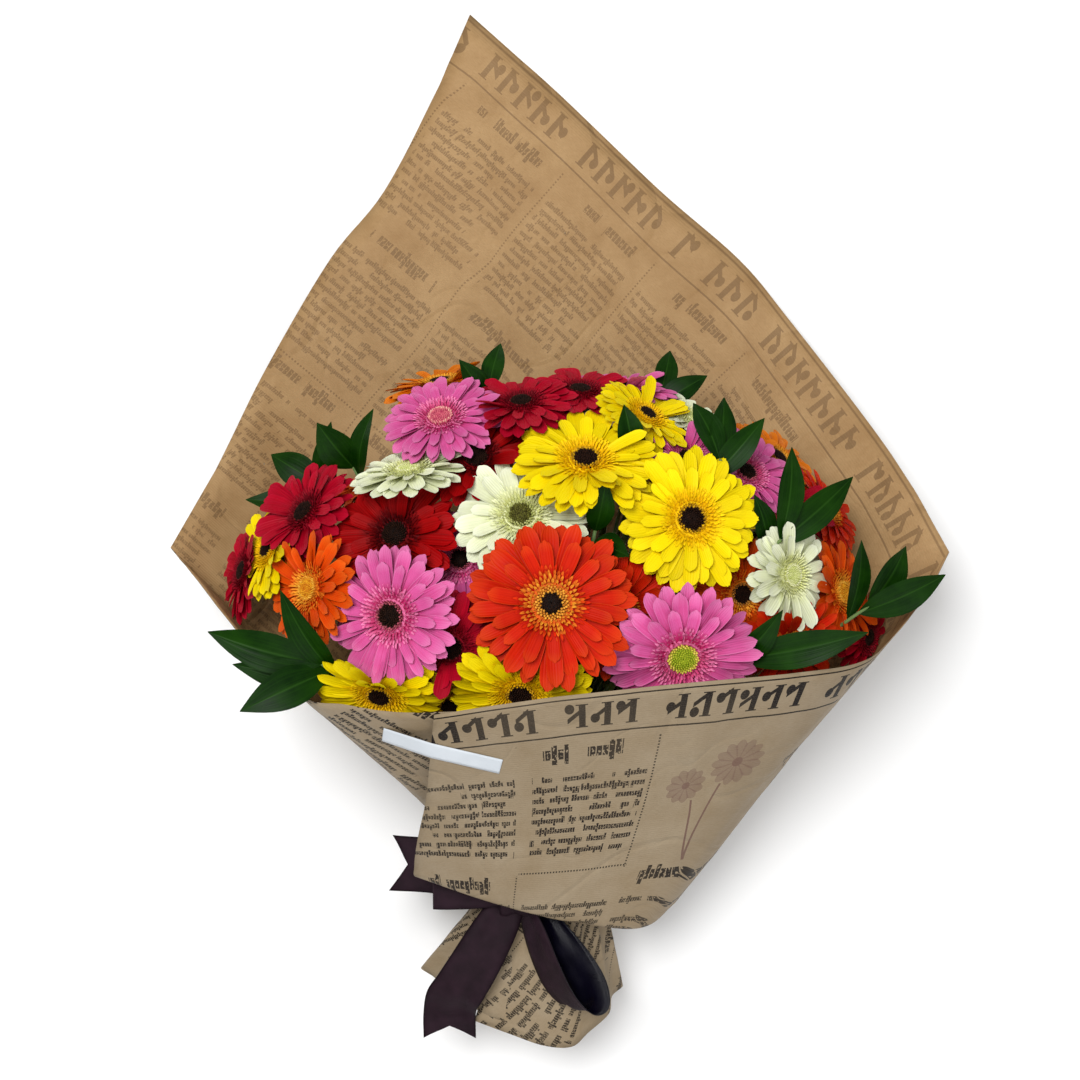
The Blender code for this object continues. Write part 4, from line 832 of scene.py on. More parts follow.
# The tones of each petal colour: of the petals at the root, in the middle and at the edge, with how
# strong their veins are; of the florets in the outer rings and in the inner ones; and two of the buds.
FLOWER_TONES = {
    "scarlet": (((0.33, 0.0015, 0.0003), (0.53, 0.012, 0.0004), (0.64, 0.06, 0.006), 0.5),
                ((0.6, 0.02, 0.002), (0.85, 0.36, 0.03)), ((0.4, 0.1, 0.01), (0.85, 0.42, 0.05))),
    "orange": (((0.48, 0.019, 0.0005), (0.67, 0.06, 0.001), (0.74, 0.14, 0.011), 0.5),
               ((0.75, 0.13, 0.006), (0.85, 0.38, 0.03)), ((0.2, 0.06, 0.01), (0.6, 0.25, 0.04))),
    "amber": (((0.42, 0.05, 0.001), (0.66, 0.15, 0.002), (0.74, 0.24, 0.02), 0.5),
              ((0.66, 0.2, 0.01), (0.75, 0.35, 0.03)), ((0.15, 0.05, 0.01), (0.5, 0.25, 0.04))),
    "yellow": (((0.74, 0.45, 0.0005), (0.82, 0.625, 0.0005), (0.84, 0.68, 0.004), 0.4),
               ((0.88, 0.6, 0.003), (0.86, 0.5, 0.003)), ((0.12, 0.05, 0.005), (0.8, 0.45, 0.01))),
    "pink": (((0.46, 0.006, 0.095), (0.61, 0.088, 0.285), (0.72, 0.24, 0.46), 0.5),
             ((0.78, 0.2, 0.4), (0.6, 0.06, 0.18)), ((0.1, 0.02, 0.03), (0.5, 0.1, 0.14))),
    "white": (((0.6, 0.63, 0.22), (0.75, 0.78, 0.52), (0.81, 0.84, 0.7), 0.25),
              ((0.78, 0.8, 0.5), (0.66, 0.68, 0.26)), ((0.25, 0.3, 0.04), (0.6, 0.62, 0.15))),
    "crimson": (((0.15, 0.0005, 0.003), (0.36, 0.001, 0.013), (0.45, 0.006, 0.03), 0.5),
                ((0.3, 0.003, 0.014), (0.14, 0.003, 0.008)), ((0.05, 0.004, 0.006), (0.2, 0.02, 0.02))),
    "dark_red": (((0.04, 0.0002, 0.0005), (0.28, 0.0005, 0.001), (0.4, 0.001, 0.003), 0.5),
                 ((0.16, 0.001, 0.002), (0.05, 0.001, 0.002)), ((0.02, 0.002, 0.003), (0.1, 0.01, 0.012))),
}
PETALS, FRINGES, OUTER_BUDS = {}, {}, {}
for petal_colour, (petal_tones, floret_tones, bud_tones) in FLOWER_TONES.items():
    PETALS[petal_colour] = petal_material(f"petal_{petal_colour}_skin", *petal_tones)
    FRINGES[petal_colour] = fringe_material("fringe_" + petal_colour, *floret_tones)
    OUTER_BUDS[petal_colour] = spotted_material("buds_" + petal_colour, *bud_tones)

# Two tones of the disc and two of the buds round it, for the blooms whose centre isn't dark.
OTHER_CENTRE_TONES = {
    "green": (((0.2, 0.28, 0.01), (0.42, 0.46, 0.03)), ((0.45, 0.42, 0.03), (0.75, 0.6, 0.12))),
    "pale": (((0.5, 0.55, 0.16), (0.7, 0.72, 0.35)), ((0.62, 0.64, 0.3), (0.8, 0.8, 0.5))),
    "golden": (((0.45, 0.11, 0.004), (0.82, 0.4, 0.02)), ((0.6, 0.2, 0.01), (0.85, 0.5, 0.06))),
    "rosy": (((0.42, 0.04, 0.1), (0.66, 0.16, 0.2)), ((0.62, 0.12, 0.2), (0.82, 0.45, 0.36))),
    "olive": (((0.03, 0.025, 0.006), (0.16, 0.16, 0.03)), ((0.3, 0.33, 0.08), (0.6, 0.62, 0.25))),
}
OTHER_CENTRES = {}
for centre_tone, (disc_tones, bud_tones) in OTHER_CENTRE_TONES.items():
    OTHER_CENTRES[centre_tone] = (spotted_material("centre_" + centre_tone, *disc_tones),
                                  spotted_material("buds_" + centre_tone, *bud_tones))
DARK_CENTRE = spotted_material("centre_dark", (0.004, 0.0015, 0.001), (0.022, 0.008, 0.004))
STEM = stem_material()
LEAF = leaf_material()
# The outside is darker and greyer than the inside. Part of that is the kraft's own printed face, and part is
# painted shade: its tones are darkened to those of the front flap, which lies in shade.
PAPER_OUTSIDE_WITH_PAINTED_SHADE = paper_material("kraft_outside_with_painted_shade", (0.31, 0.244, 0.162), (0.25, 0.185, 0.11),
                               (0.008, 0.005, 0.004), (0.11, 0.045, 0.042), 1.0, 1.3)
PAPER_INSIDE = paper_material("kraft_inside", (0.44, 0.277, 0.13), (0.325, 0.19, 0.08),
                              (0.11, 0.06, 0.028), (0.2, 0.1, 0.05), 0.55, 1.0)
SATIN = satin_material("satin_outer", (0.011, 0.0045, 0.0078), (0.021, 0.009, 0.015), 0.5, 0.1)
SATIN_INNER = satin_material("satin_inner", (0.001, 0.0007, 0.004), (0.002, 0.0014, 0.007), 0.26, 0.22)


# The paper

def waist_point(angle_deg, height, outward=0.0):
    """A point of the waist ring, height along the axis from the binding, outward from the ring."""
    angle = math.radians(angle_deg)
    across = -math.sin(angle)
    up = math.cos(angle)
    push = Vector((across * WAIST_HALF_HEIGHT, up * WAIST_HALF_WIDTH)).normalized() * outward
    ring = Vector((across * WAIST_HALF_WIDTH, up * WAIST_HALF_HEIGHT)) + push
    return BINDING + ALONG * height + ACROSS * ring.x + UPWARD * ring.y


def foot_point(angle_deg, end_y, part, pleat):
    """A point between the waist and the flared foot end, where part is 1."""
    angle = math.radians(angle_deg)
    end = Vector((FOOT_CENTRE_X - math.sin(angle) * (FOOT_HALF_WIDTH + pleat), end_y,
                  PAPER_FLOOR_MID + FOOT_HALF_HEIGHT + math.cos(angle) * FOOT_HALF_HEIGHT))
    start = waist_point(angle_deg, -WAIST_HALF_LENGTH, pleat * 0.4)
    return start.lerp(end, part)


def straight_body_point(rim, angle_deg, part, pleat):
    """A point on the line from the waist to the rim, laid down on the floor under the bunch."""
    start = waist_point(angle_deg, WAIST_HALF_LENGTH, pleat)
    point = start.lerp(rim, part)
    floor_part = min(1.0, max(0.0, (FLOOR_REACHED_AT - start.y) / (rim.y - start.y)))
    lying = 1.0 - min(1.0, rim.z / STANDING_RIM_HEIGHT)
    dip = 1.0 - (1.0 - part / floor_part) ** 1.5 if part < floor_part else 1.0
    lying_z = start.z + (PAPER_FLOOR_MID - start.z) * dip + max(0.0, part - floor_part) * rim.z
    point.z = point.z * (1.0 - lying) + lying_z * lying
    if part == 1.0:
        point.z = rim.z
    return point


def fold_body_points(rim, angle_deg, fold):
    """The rows of a line that folds over at the front: turn, return, fold, then up to the rim."""
    top = waist_point(angle_deg, WAIST_HALF_LENGTH + TURN_PAST_WAIST, TURN_OUTWARD)
    under = fold.lerp(top, 0.45)
    rows = [top, under, fold]
    for part in FOLD_ROWS_UP:
        point = fold.lerp(rim, part)
        bulge = FOLD_BULGE * math.sin(math.pi * min(1.0, part * 2.2 + 0.15))
        if part < 0.45:
            point += (point - BINDING).normalized() * bulge
        rows.append(point)
    return rows


def paper_rows():
    """The sheet's grid of points: rows from the foot end to the rim, columns round the bunch."""
    columns = []
    last = len(PAPER_LINES) - 1
    for index, (rim, angle_deg, foot_y) in enumerate(PAPER_LINES):
        rim = Vector(rim)
        overlap = index <= 1 or index >= last - 2
        sign = 1.0 if index % 2 else -1.0
        depth = sign * (OVERLAP_PLEAT_DEPTH if overlap else PLEAT_DEPTH)
        inset = -OVERLAP_STEP if index == 0 else -OVERLAP_STEP * 0.75 if index == 1 else 0.0
        foot_pleat = sign * (OVERLAP_PLEAT_DEPTH if overlap else FOOT_PLEAT_DEPTH) + inset
        column = [foot_point(angle_deg, foot_y, part, foot_pleat) for part in (1.0, 0.5)]
        if PAPER_FLOOR_MID < column[0].z < PAPER_FLOOR_MID + 3.0:
            column[0].z = PAPER_FLOOR_MID
        column.append(waist_point(angle_deg, -WAIST_HALF_LENGTH, depth + inset))
        column.append(waist_point(angle_deg, WAIST_HALF_LENGTH, depth + inset))
        body = [straight_body_point(rim, angle_deg, part, (depth + inset) * kept)
                for part, kept in BODY_ROWS]
        if index >= FIRST_FOLD_LINE:
            fold, share = FOLD_POINTS[index - FIRST_FOLD_LINE]
            folded = fold_body_points(rim, angle_deg, Vector(fold))
            body = [plain.lerp(bagged, share) for plain, bagged in zip(body, folded)]
        columns.append(column + body)
    return np.array([[list(point) for point in row] for row in zip(*columns)])


def body_map(grid, peak):
    """Where each point of the body lies on the flat sheet: along the printed edge from the peak, and in
    from that edge. Left of the peak the sheet fans out strip by strip round the waist."""
    rim = grid[-1]
    waist = grid[0]
    from_waist = run_lengths(grid)
    lengths = from_waist[-1]
    flat = np.zeros(grid.shape[:2] + (2,))
    along_rim = run_lengths(rim)
    along_rim -= along_rim[peak]
    down = (grid[-RIM_ROWS] - rim)[peak:-1]
    tangent = np.diff(rim, axis=0)[peak:]
    cosine = np.sum(down * tangent, axis=1) / np.linalg.norm(down, axis=1) / np.linalg.norm(tangent, axis=1)
    nearby = TURN_COLUMNS // 2
    turn = np.convolve(np.pad(np.arccos(cosine), (nearby, nearby + 1), mode="edge"),
                       np.ones(TURN_COLUMNS) / TURN_COLUMNS, "valid")
    rims = np.zeros((grid.shape[1], 2))
    waists = np.zeros((grid.shape[1], 2))
    for column in range(peak, grid.shape[1]):
        angle = turn[column - peak]
        rims[column] = (along_rim[column], 0.0)
        waists[column] = rims[column] + lengths[column] * np.array([math.cos(angle), math.sin(angle)])
    heading = math.atan2(*(rims[peak] - waists[peak])[::-1])
    for column in range(peak - 1, -1, -1):
        waist_step = np.linalg.norm(waist[column] - waist[column + 1])
        rim_step = np.linalg.norm(rim[column] - rim[column + 1])
        aside = math.sqrt(max(0.0, rim_step ** 2 - (lengths[column] - lengths[column + 1]) ** 2))
        heading -= max(0.0, aside - waist_step) / lengths[column]
        waists[column] = waists[column + 1] + waist_step * np.array([math.sin(heading), -math.cos(heading)])
        rims[column] = waists[column] + lengths[column] * np.array([math.cos(heading), math.sin(heading)])
    for row in range(grid.shape[0]):
        part = (from_waist[row] / lengths)[:, None]
        flat[row] = waists * (1 - part) + rims * part
    return flat


def foot_map(grid):
    """Where the points of the foot lie on the flat sheet, with finer print there that runs aslant."""
    around = run_lengths(grid[grid.shape[0] // 2])
    down = run_lengths(grid).mean(axis=1)
    x, y = np.meshgrid(around * FOOT_MAP_SCALE, down * FOOT_MAP_SCALE)
    turn = math.radians(FOOT_MAP_TURN)
    return np.stack([x * math.cos(turn) - y * math.sin(turn),
                     FOOT_MAP_START + x * math.sin(turn) + y * math.cos(turn)], axis=2)


def wrinkle(grid, normals):
    """Pushes the sheet in and out: folds that run out from the waist, and a light crumple all over."""
    rows, columns = grid.shape[:2]
    result = grid.copy()
    for r in range(rows):
        for c in range(columns):
            point = Vector(grid[r, c])
            distance = (point - BINDING).length - WAIST_HALF_WIDTH
            if abs((point - BINDING).dot(ALONG)) < WAIST_HALF_LENGTH + 3.0:
                continue
            spokes = noise.noise(Vector((c * 0.22, distance * 0.006, 3.0)))
            crumple = noise.noise(point * 0.035) + 0.5 * noise.noise(point * 0.09)
            rise = WRINKLE_DEPTH * spokes * math.exp(-max(0.0, distance) / WRINKLE_FADE)
            edge = min(1.0, r / 6.0, (rows - 1 - r) / 4.0 + 0.4)
            result[r, c] += normals[r, c] * (rise + CRUMPLE_DEPTH * crumple) * edge
    result[..., 2] = np.maximum(result[..., 2], PAPER_THICKNESS / 2 + 0.05)
    return result


def add_sheet(shape, grid, normals, places, kinds, thickness):
    """A thin closed sheet over a grid: outer face, inner face and edges."""
    rows, columns = grid.shape[:2]
    count = rows * columns
    outer = grid_faces(rows, columns)
    inner = [tuple(index + count for index in reversed(face)) for face in outer]
    border = list(range(columns))
    border += [r * columns + columns - 1 for r in range(1, rows)]
    border += [(rows - 1) * columns + c for c in range(columns - 2, -1, -1)]
    border += [r * columns for r in range(rows - 2, 0, -1)]
    edges = [(b, a, a + count, b + count) for a, b in zip(border, border[1:] + border[:1])]
    face_kinds = [kinds[0]] * len(outer) + [kinds[1]] * len(inner) + [kinds[0]] * len(edges)
    points = np.stack([grid + normals * thickness / 2, grid - normals * thickness / 2])
    shape.add(points, outer + inner + edges, face_kinds, np.stack([places, places]))


def sharpen_corners(rows, smooth):
    """Brings the smooth sheet back to straight lines towards its corners at the rim."""
    straight = smooth.copy()
    columns = np.linspace(0, rows.shape[1] - 1, smooth.shape[1])
    lengthwise = smooth_line(rows, PAPER_STEPS_ALONG)
    for axis in range(3):
        for row in range(smooth.shape[0]):
            straight[row, :, axis] = np.interp(columns, np.arange(rows.shape[1]), lengthwise[row, :, axis])
    from_corner = np.min([np.abs(columns - corner) for corner in SHEET_CORNERS], axis=0)
    near_corner = np.clip(CORNER_REACH - from_corner, 0.0, 1.0)
    near_rim = np.clip(np.linspace(-0.9, 1.0, smooth.shape[0]), 0.0, 1.0)
    share = (near_corner[None, :] * near_rim[:, None])[..., None]
    return smooth * (1 - share) + straight * share


def make_paper():
    rows = paper_rows()
    grid = sharpen_corners(rows, smooth_grid(rows, PAPER_STEPS_ALONG, PAPER_STEPS_ROUND))
    normals = grid_normals(grid)
    first = WAIST_ROW * PAPER_STEPS_ALONG
    away = grid[first] - np.array(BINDING)
    if np.sum(away * normals[first]) < 0:
        normals = -normals
    grid = wrinkle(grid, normals)
    body = body_map(grid[first:], PEAK_LINE * PAPER_STEPS_ROUND) * MM
    foot = foot_map(grid[:first + 1]) * MM
    shape = Shape()
    add_sheet(shape, grid[first:], normals[first:], body, (0, 1), PAPER_THICKNESS)
    add_sheet(shape, grid[:first + 1], normals[:first + 1], foot, (0, 1), PAPER_THICKNESS)
    piece = shape.make("paper_sheet", [PAPER_OUTSIDE_WITH_PAINTED_SHADE, PAPER_INSIDE], "paper_kraft", "paper_wrap")
    return piece, grid


# The ribbon and the label

def add_strip(shape, centres, sides, ripple, kinds=(0, 1), notch=0.0, closed=False, steps=8, columns=8):
    """A ribbon along a smooth line: sides are half widths as vectors, ripple the depth of its long folds."""
    centres = np.array([list(point) for point in centres])
    sides = np.array([list(side) for side in sides])
    if closed:
        centres = np.concatenate([centres[-1:], centres, centres[:2]])
        sides = np.concatenate([sides[-1:], sides, sides[:2]])
    line, reach = smooth_line(centres, steps), smooth_line(sides, steps)
    if closed:
        line, reach = line[steps:-steps], reach[steps:-steps]
    lengths = run_lengths(line)
    across = np.linspace(-1.0, 1.0, columns + 1)
    grid = line[:, None, :] + reach[:, None, :] * across[None, :, None]
    if notch:
        cut = np.clip(1.0 - (lengths[-1] - lengths) / notch / 2.2, 0.0, 1.0)
        back = (line[-2] - line[-1]) / np.linalg.norm(line[-2] - line[-1])
        grid += back * (cut[:, None] * (1 - np.abs(across))[None, :] * notch)[..., None]
    normals = grid_normals(grid)
    waves = np.cos(across * 5.3 + 0.6)[None, :] * ripple * np.sin(lengths * 0.045 + 0.5)[:, None]
    grid = grid + normals * waves[..., None]
    places = np.stack(np.broadcast_arrays((across[None, :] + 1) / 2, (lengths * MM)[:, None]), axis=2)
    add_sheet(shape, grid, grid_normals(grid), places, kinds, RIBBON_THICKNESS)


def level_sides(route, halves):
    """Half widths of a strip that lies level, square to the way it runs."""
    sides = []
    for index, half in enumerate(halves):
        way = route[min(index + 1, len(route) - 1)] - route[max(index - 1, 0)]
        sides.append(Vector((-way.y, way.x, 0.0)).normalized() * half)
    return sides


def make_ribbon():
    shape = Shape()
    clear = PLEAT_DEPTH + PAPER_MODEL_THICKNESS / 2 + BAND_GAP + RIBBON_MODEL_THICKNESS / 2
    ring = [waist_point(360.0 * step / BAND_STEPS, 0.0, clear) for step in range(BAND_STEPS)]
    add_strip(shape, ring, [ALONG * BAND_HALF_WIDTH] * BAND_STEPS, 0.5, closed=True, steps=4)
    add_strip(shape, [Vector(point[:3]) for point in HANGING_LOOP],
              [Vector((lean, 0.0, math.sqrt(1.0 - lean ** 2))) * half for *_, half, lean in HANGING_LOOP],
              0.8, kinds=(1, 0))
    add_strip(shape, [Vector((x, LEFT_LOOP_Y, z)) for x, z, _ in LEFT_LOOP],
              [Vector((0.0, half, 1.0)) for *_, half in LEFT_LOOP], 0.6)
    for tail, ripple, notch in TAILS:
        route = [Vector(point[:3]) for point in tail]
        add_strip(shape, route, level_sides(route, [point[3] for point in tail]), ripple, notch=notch,
                  kinds=(1, 0))
    turns = [2 * math.pi * step / KNOT_STEPS for step in range(KNOT_STEPS)]
    ring = [KNOT_CENTRE + Vector((0.0, math.cos(turn) * KNOT_HALF_SIZE.y, math.sin(turn) * KNOT_HALF_SIZE.z))
            for turn in turns]
    add_strip(shape, ring, [ACROSS * KNOT_HALF_SIZE.x * 0.85] * KNOT_STEPS, 0.9, closed=True, steps=3,
              kinds=(1, 0))
    piece = shape.make("ribbon_bow_satin", [SATIN, SATIN_INNER], "ribbon_satin", "ribbon_bow")


def pulled_over(heights):
    """The heights of a strip that is pulled straight over the given ones, along each of its columns."""
    result = np.empty_like(heights)
    rows = np.arange(len(heights))
    for column in range(heights.shape[1]):
        line = heights[:, column]
        kept = []
        for row in rows:
            while len(kept) > 1 and ((line[kept[-1]] - line[kept[-2]]) * (row - kept[-2])
                                     <= (line[row] - line[kept[-2]]) * (kept[-1] - kept[-2])):
                kept.pop()
            kept.append(row)
        result[:, column] = np.interp(rows, kept, line[kept])
    return result


def make_label(paper):
    """The strip of white label stock across the sheet's free edge, bent over the step there."""
    tree = BVHTree.FromPolygons([vertex.co[:] for vertex in paper.data.vertices],
                                [face.vertices[:] for face in paper.data.polygons])
    left, right = Vector(LABEL_LEFT_END), Vector(LABEL_RIGHT_END)
    along = (right - left).normalized()
    aside = Vector((-along.y, along.x))
    part, across = np.meshgrid(np.linspace(0, 1, LABEL_STEPS + 1), np.linspace(0, 1, LABEL_COLUMNS + 1),
                               indexing="ij")
    heights = np.zeros(part.shape)
    grid = np.zeros((*part.shape, 3))
    for spot in np.ndindex(part.shape):
        place = left.lerp(right, part[spot]) + aside * (across[spot] - 0.5) * LABEL_WIDTH
        above = (Vector((*place, 400.0)) + ORIGIN_SHIFT) * MM
        grid[spot][:2] = place
        heights[spot] = tree.ray_cast(above, Vector((0.0, 0.0, -1.0)))[0].z / MM
    grid[..., 2] = pulled_over(heights) + LABEL_HEIGHT_OVER_PAPER
    normals = grid_normals(grid)
    if normals[..., 2].mean() < 0:
        normals = -normals
    shape = Shape()
    add_sheet(shape, grid, normals, np.stack([across, part], axis=2), (0, 0), LABEL_THICKNESS)
    shape.make("label_strip", [label_material()], "label_white", "label_sticker")


# The stems

def stem_slots(count):
    """Places in the bound bunch, in rows, nearest the middle first."""
    reach = 9
    places = []
    for row in range(-reach, reach + 1):
        for column in range(-reach, reach + 1):
            places.append(((column + 0.5 * (row % 2)) * STEM_PITCH, row * STEM_PITCH))
    places.sort(key=lambda place: (round(math.hypot(place[0] / BUNCH_FLATTENING, place[1]), 3), place))
    return places[:count]


def spread(end):
    """Where a stem end lies across the bunch, as seen from the binding."""
    away = end - BINDING
    distance = max(away.dot(ALONG), 60.0)
    return away.dot(ACROSS) / distance, away.dot(UPWARD) / distance


def assign_slots(ends):
    """Gives each stem the slot on its own side, so that no two stems cross."""
    wanted = [spread(end) for end in ends]
    slots = stem_slots(len(ends))
    wide = max(abs(place[0]) for place in slots) / max(abs(want[0]) for want in wanted)
    high = [want[1] for want in wanted]
    middle, tall = (max(high) + min(high)) / 2, (max(high) - min(high)) / 2
    scale = max(abs(place[1]) for place in slots) / tall
    goal = [(want[0] * wide, (want[1] - middle) * scale) for want in wanted]
    chosen = list(range(len(ends)))

    def cost(stem, slot):
        return (goal[stem][0] - slots[slot][0]) ** 2 + (goal[stem][1] - slots[slot][1]) ** 2

    improved = True
    while improved:
        improved = False
        for a in range(len(ends)):
            for b in range(a + 1, len(ends)):
                now = cost(a, chosen[a]) + cost(b, chosen[b])
                if cost(a, chosen[b]) + cost(b, chosen[a]) < now - 1e-6:
                    chosen[a], chosen[b] = chosen[b], chosen[a]
                    improved = True
    return [slots[slot] for slot in chosen]


def bezier(start, start_handle, end_handle, end, part):
    rest = 1.0 - part
    return (start * rest ** 3 + start_handle * 3 * rest * rest * part
            + end_handle * 3 * rest * part * part + end * part ** 3)


def nearest_between(a, b, c, d):
    """How far along a to b and along c to d the two segments are nearest."""
    first, second, gap = b - a, d - c, a - c
    aa, ee, ff = first.dot(first), second.dot(second), second.dot(gap)
    cc, bb = first.dot(gap), first.dot(second)
    below = aa * ee - bb * bb
    along_first = min(1.0, max(0.0, (bb * ff - cc * ee) / below)) if below > 1e-9 else 0.0
    along_second = (bb * along_first + ff) / ee
    if not 0.0 <= along_second <= 1.0:
        along_second = min(1.0, max(0.0, along_second))
        along_first = min(1.0, max(0.0, (bb * along_second - cc) / aa))
    return along_first, along_second


def push_apart(path, segment, part, move):
    """Moves a segment's free ends. A stem is held in the binding and where it meets its flower."""
    free = [(index, share) for index, share in ((segment, 1.0 - part), (segment + 1, part))
            if FIRST_FREE_POINT <= index < len(path) - 1]
    weight = max(0.3, sum(share * share for _, share in free))
    for index, share in free:
        path[index] += move * share / weight


def part_stems(paths, cups):
    """Moves the stems apart between the binding and the flowers, and clear of other flowers' cups."""
    for _ in range(PARTING_ROUNDS):
        still = True
        boxes = [tuple((min(point[axis] for point in path), max(point[axis] for point in path))
                       for axis in range(3)) for path in paths]
        for a in range(len(paths)):
            for b in range(a + 1, len(paths)):
                if any(boxes[a][axis][0] > boxes[b][axis][1] + STEM_ROOM
                       or boxes[b][axis][0] > boxes[a][axis][1] + STEM_ROOM for axis in range(3)):
                    continue
                for i in range(FIRST_FREE_POINT - 1, len(paths[a]) - 1):
                    for j in range(FIRST_FREE_POINT - 1, len(paths[b]) - 1):
                        s, t = nearest_between(paths[a][i], paths[a][i + 1], paths[b][j], paths[b][j + 1])
                        between = paths[b][j].lerp(paths[b][j + 1], t) - paths[a][i].lerp(paths[a][i + 1], s)
                        room = STEM_ROOM
                        if i == j == FIRST_FREE_POINT - 1:
                            room = STEM_PITCH + (STEM_ROOM - STEM_PITCH) * min(1.0, 2.2 * min(s, t))
                        if between.length < room:
                            push = between.normalized() * (room - between.length) * 0.55
                            push_apart(paths[a], i, s, -push)
                            push_apart(paths[b], j, t, push)
                            still = False
            for owner, centre, radius in cups:
                if owner == a:
                    continue
                for i in range(FIRST_FREE_POINT - 1, len(paths[a]) - 1):
                    s, _ = nearest_between(paths[a][i], paths[a][i + 1], centre, centre + UPWARD * 0.01)
                    away = paths[a][i].lerp(paths[a][i + 1], s) - centre
                    if away.length < radius:
                        push_apart(paths[a], i, s, away.normalized() * (radius - away.length))
                        still = False
        if still:
            return


def stem_path(slot, end, arriving, index):
    """The line of a stem from its cut end, through the binding, to end, arriving along a direction."""
    foot = BINDING + ACROSS * slot[0] + UPWARD * slot[1]
    stagger = (index * 5 % 7) / 7 * STEM_END_STAGGER
    start = foot + ALONG * STRAIGHT_PAST_BINDING
    distance = (end - start).length
    curve = [bezier(start, start + ALONG * distance * 0.3, end - arriving * distance * LONG_NECK, end,
                    step / STEM_STEPS) for step in range(STEM_STEPS + 1)]
    return [foot + ALONG * (STEM_END + stagger)] + curve


# The gerberas

def facing(tilt_deg, toward_deg):
    tilt, toward = math.radians(tilt_deg), math.radians(toward_deg)
    return Vector((math.sin(tilt) * math.cos(toward), math.sin(tilt) * math.sin(toward), math.cos(tilt)))


def petal_width(part):
    """Half width of a petal from its root to its tip: narrow, slowly wider, then rounded."""
    grow = 0.45 + 0.55 * np.sin(np.clip(part / 0.62, 0.0, 1.0) * math.pi / 2)
    tip = np.sqrt(np.clip(1.0 - (np.clip(part - 0.8, 0.0, 1.0) / 0.212) ** 2, 0.0, 1.0))
    return grow * tip


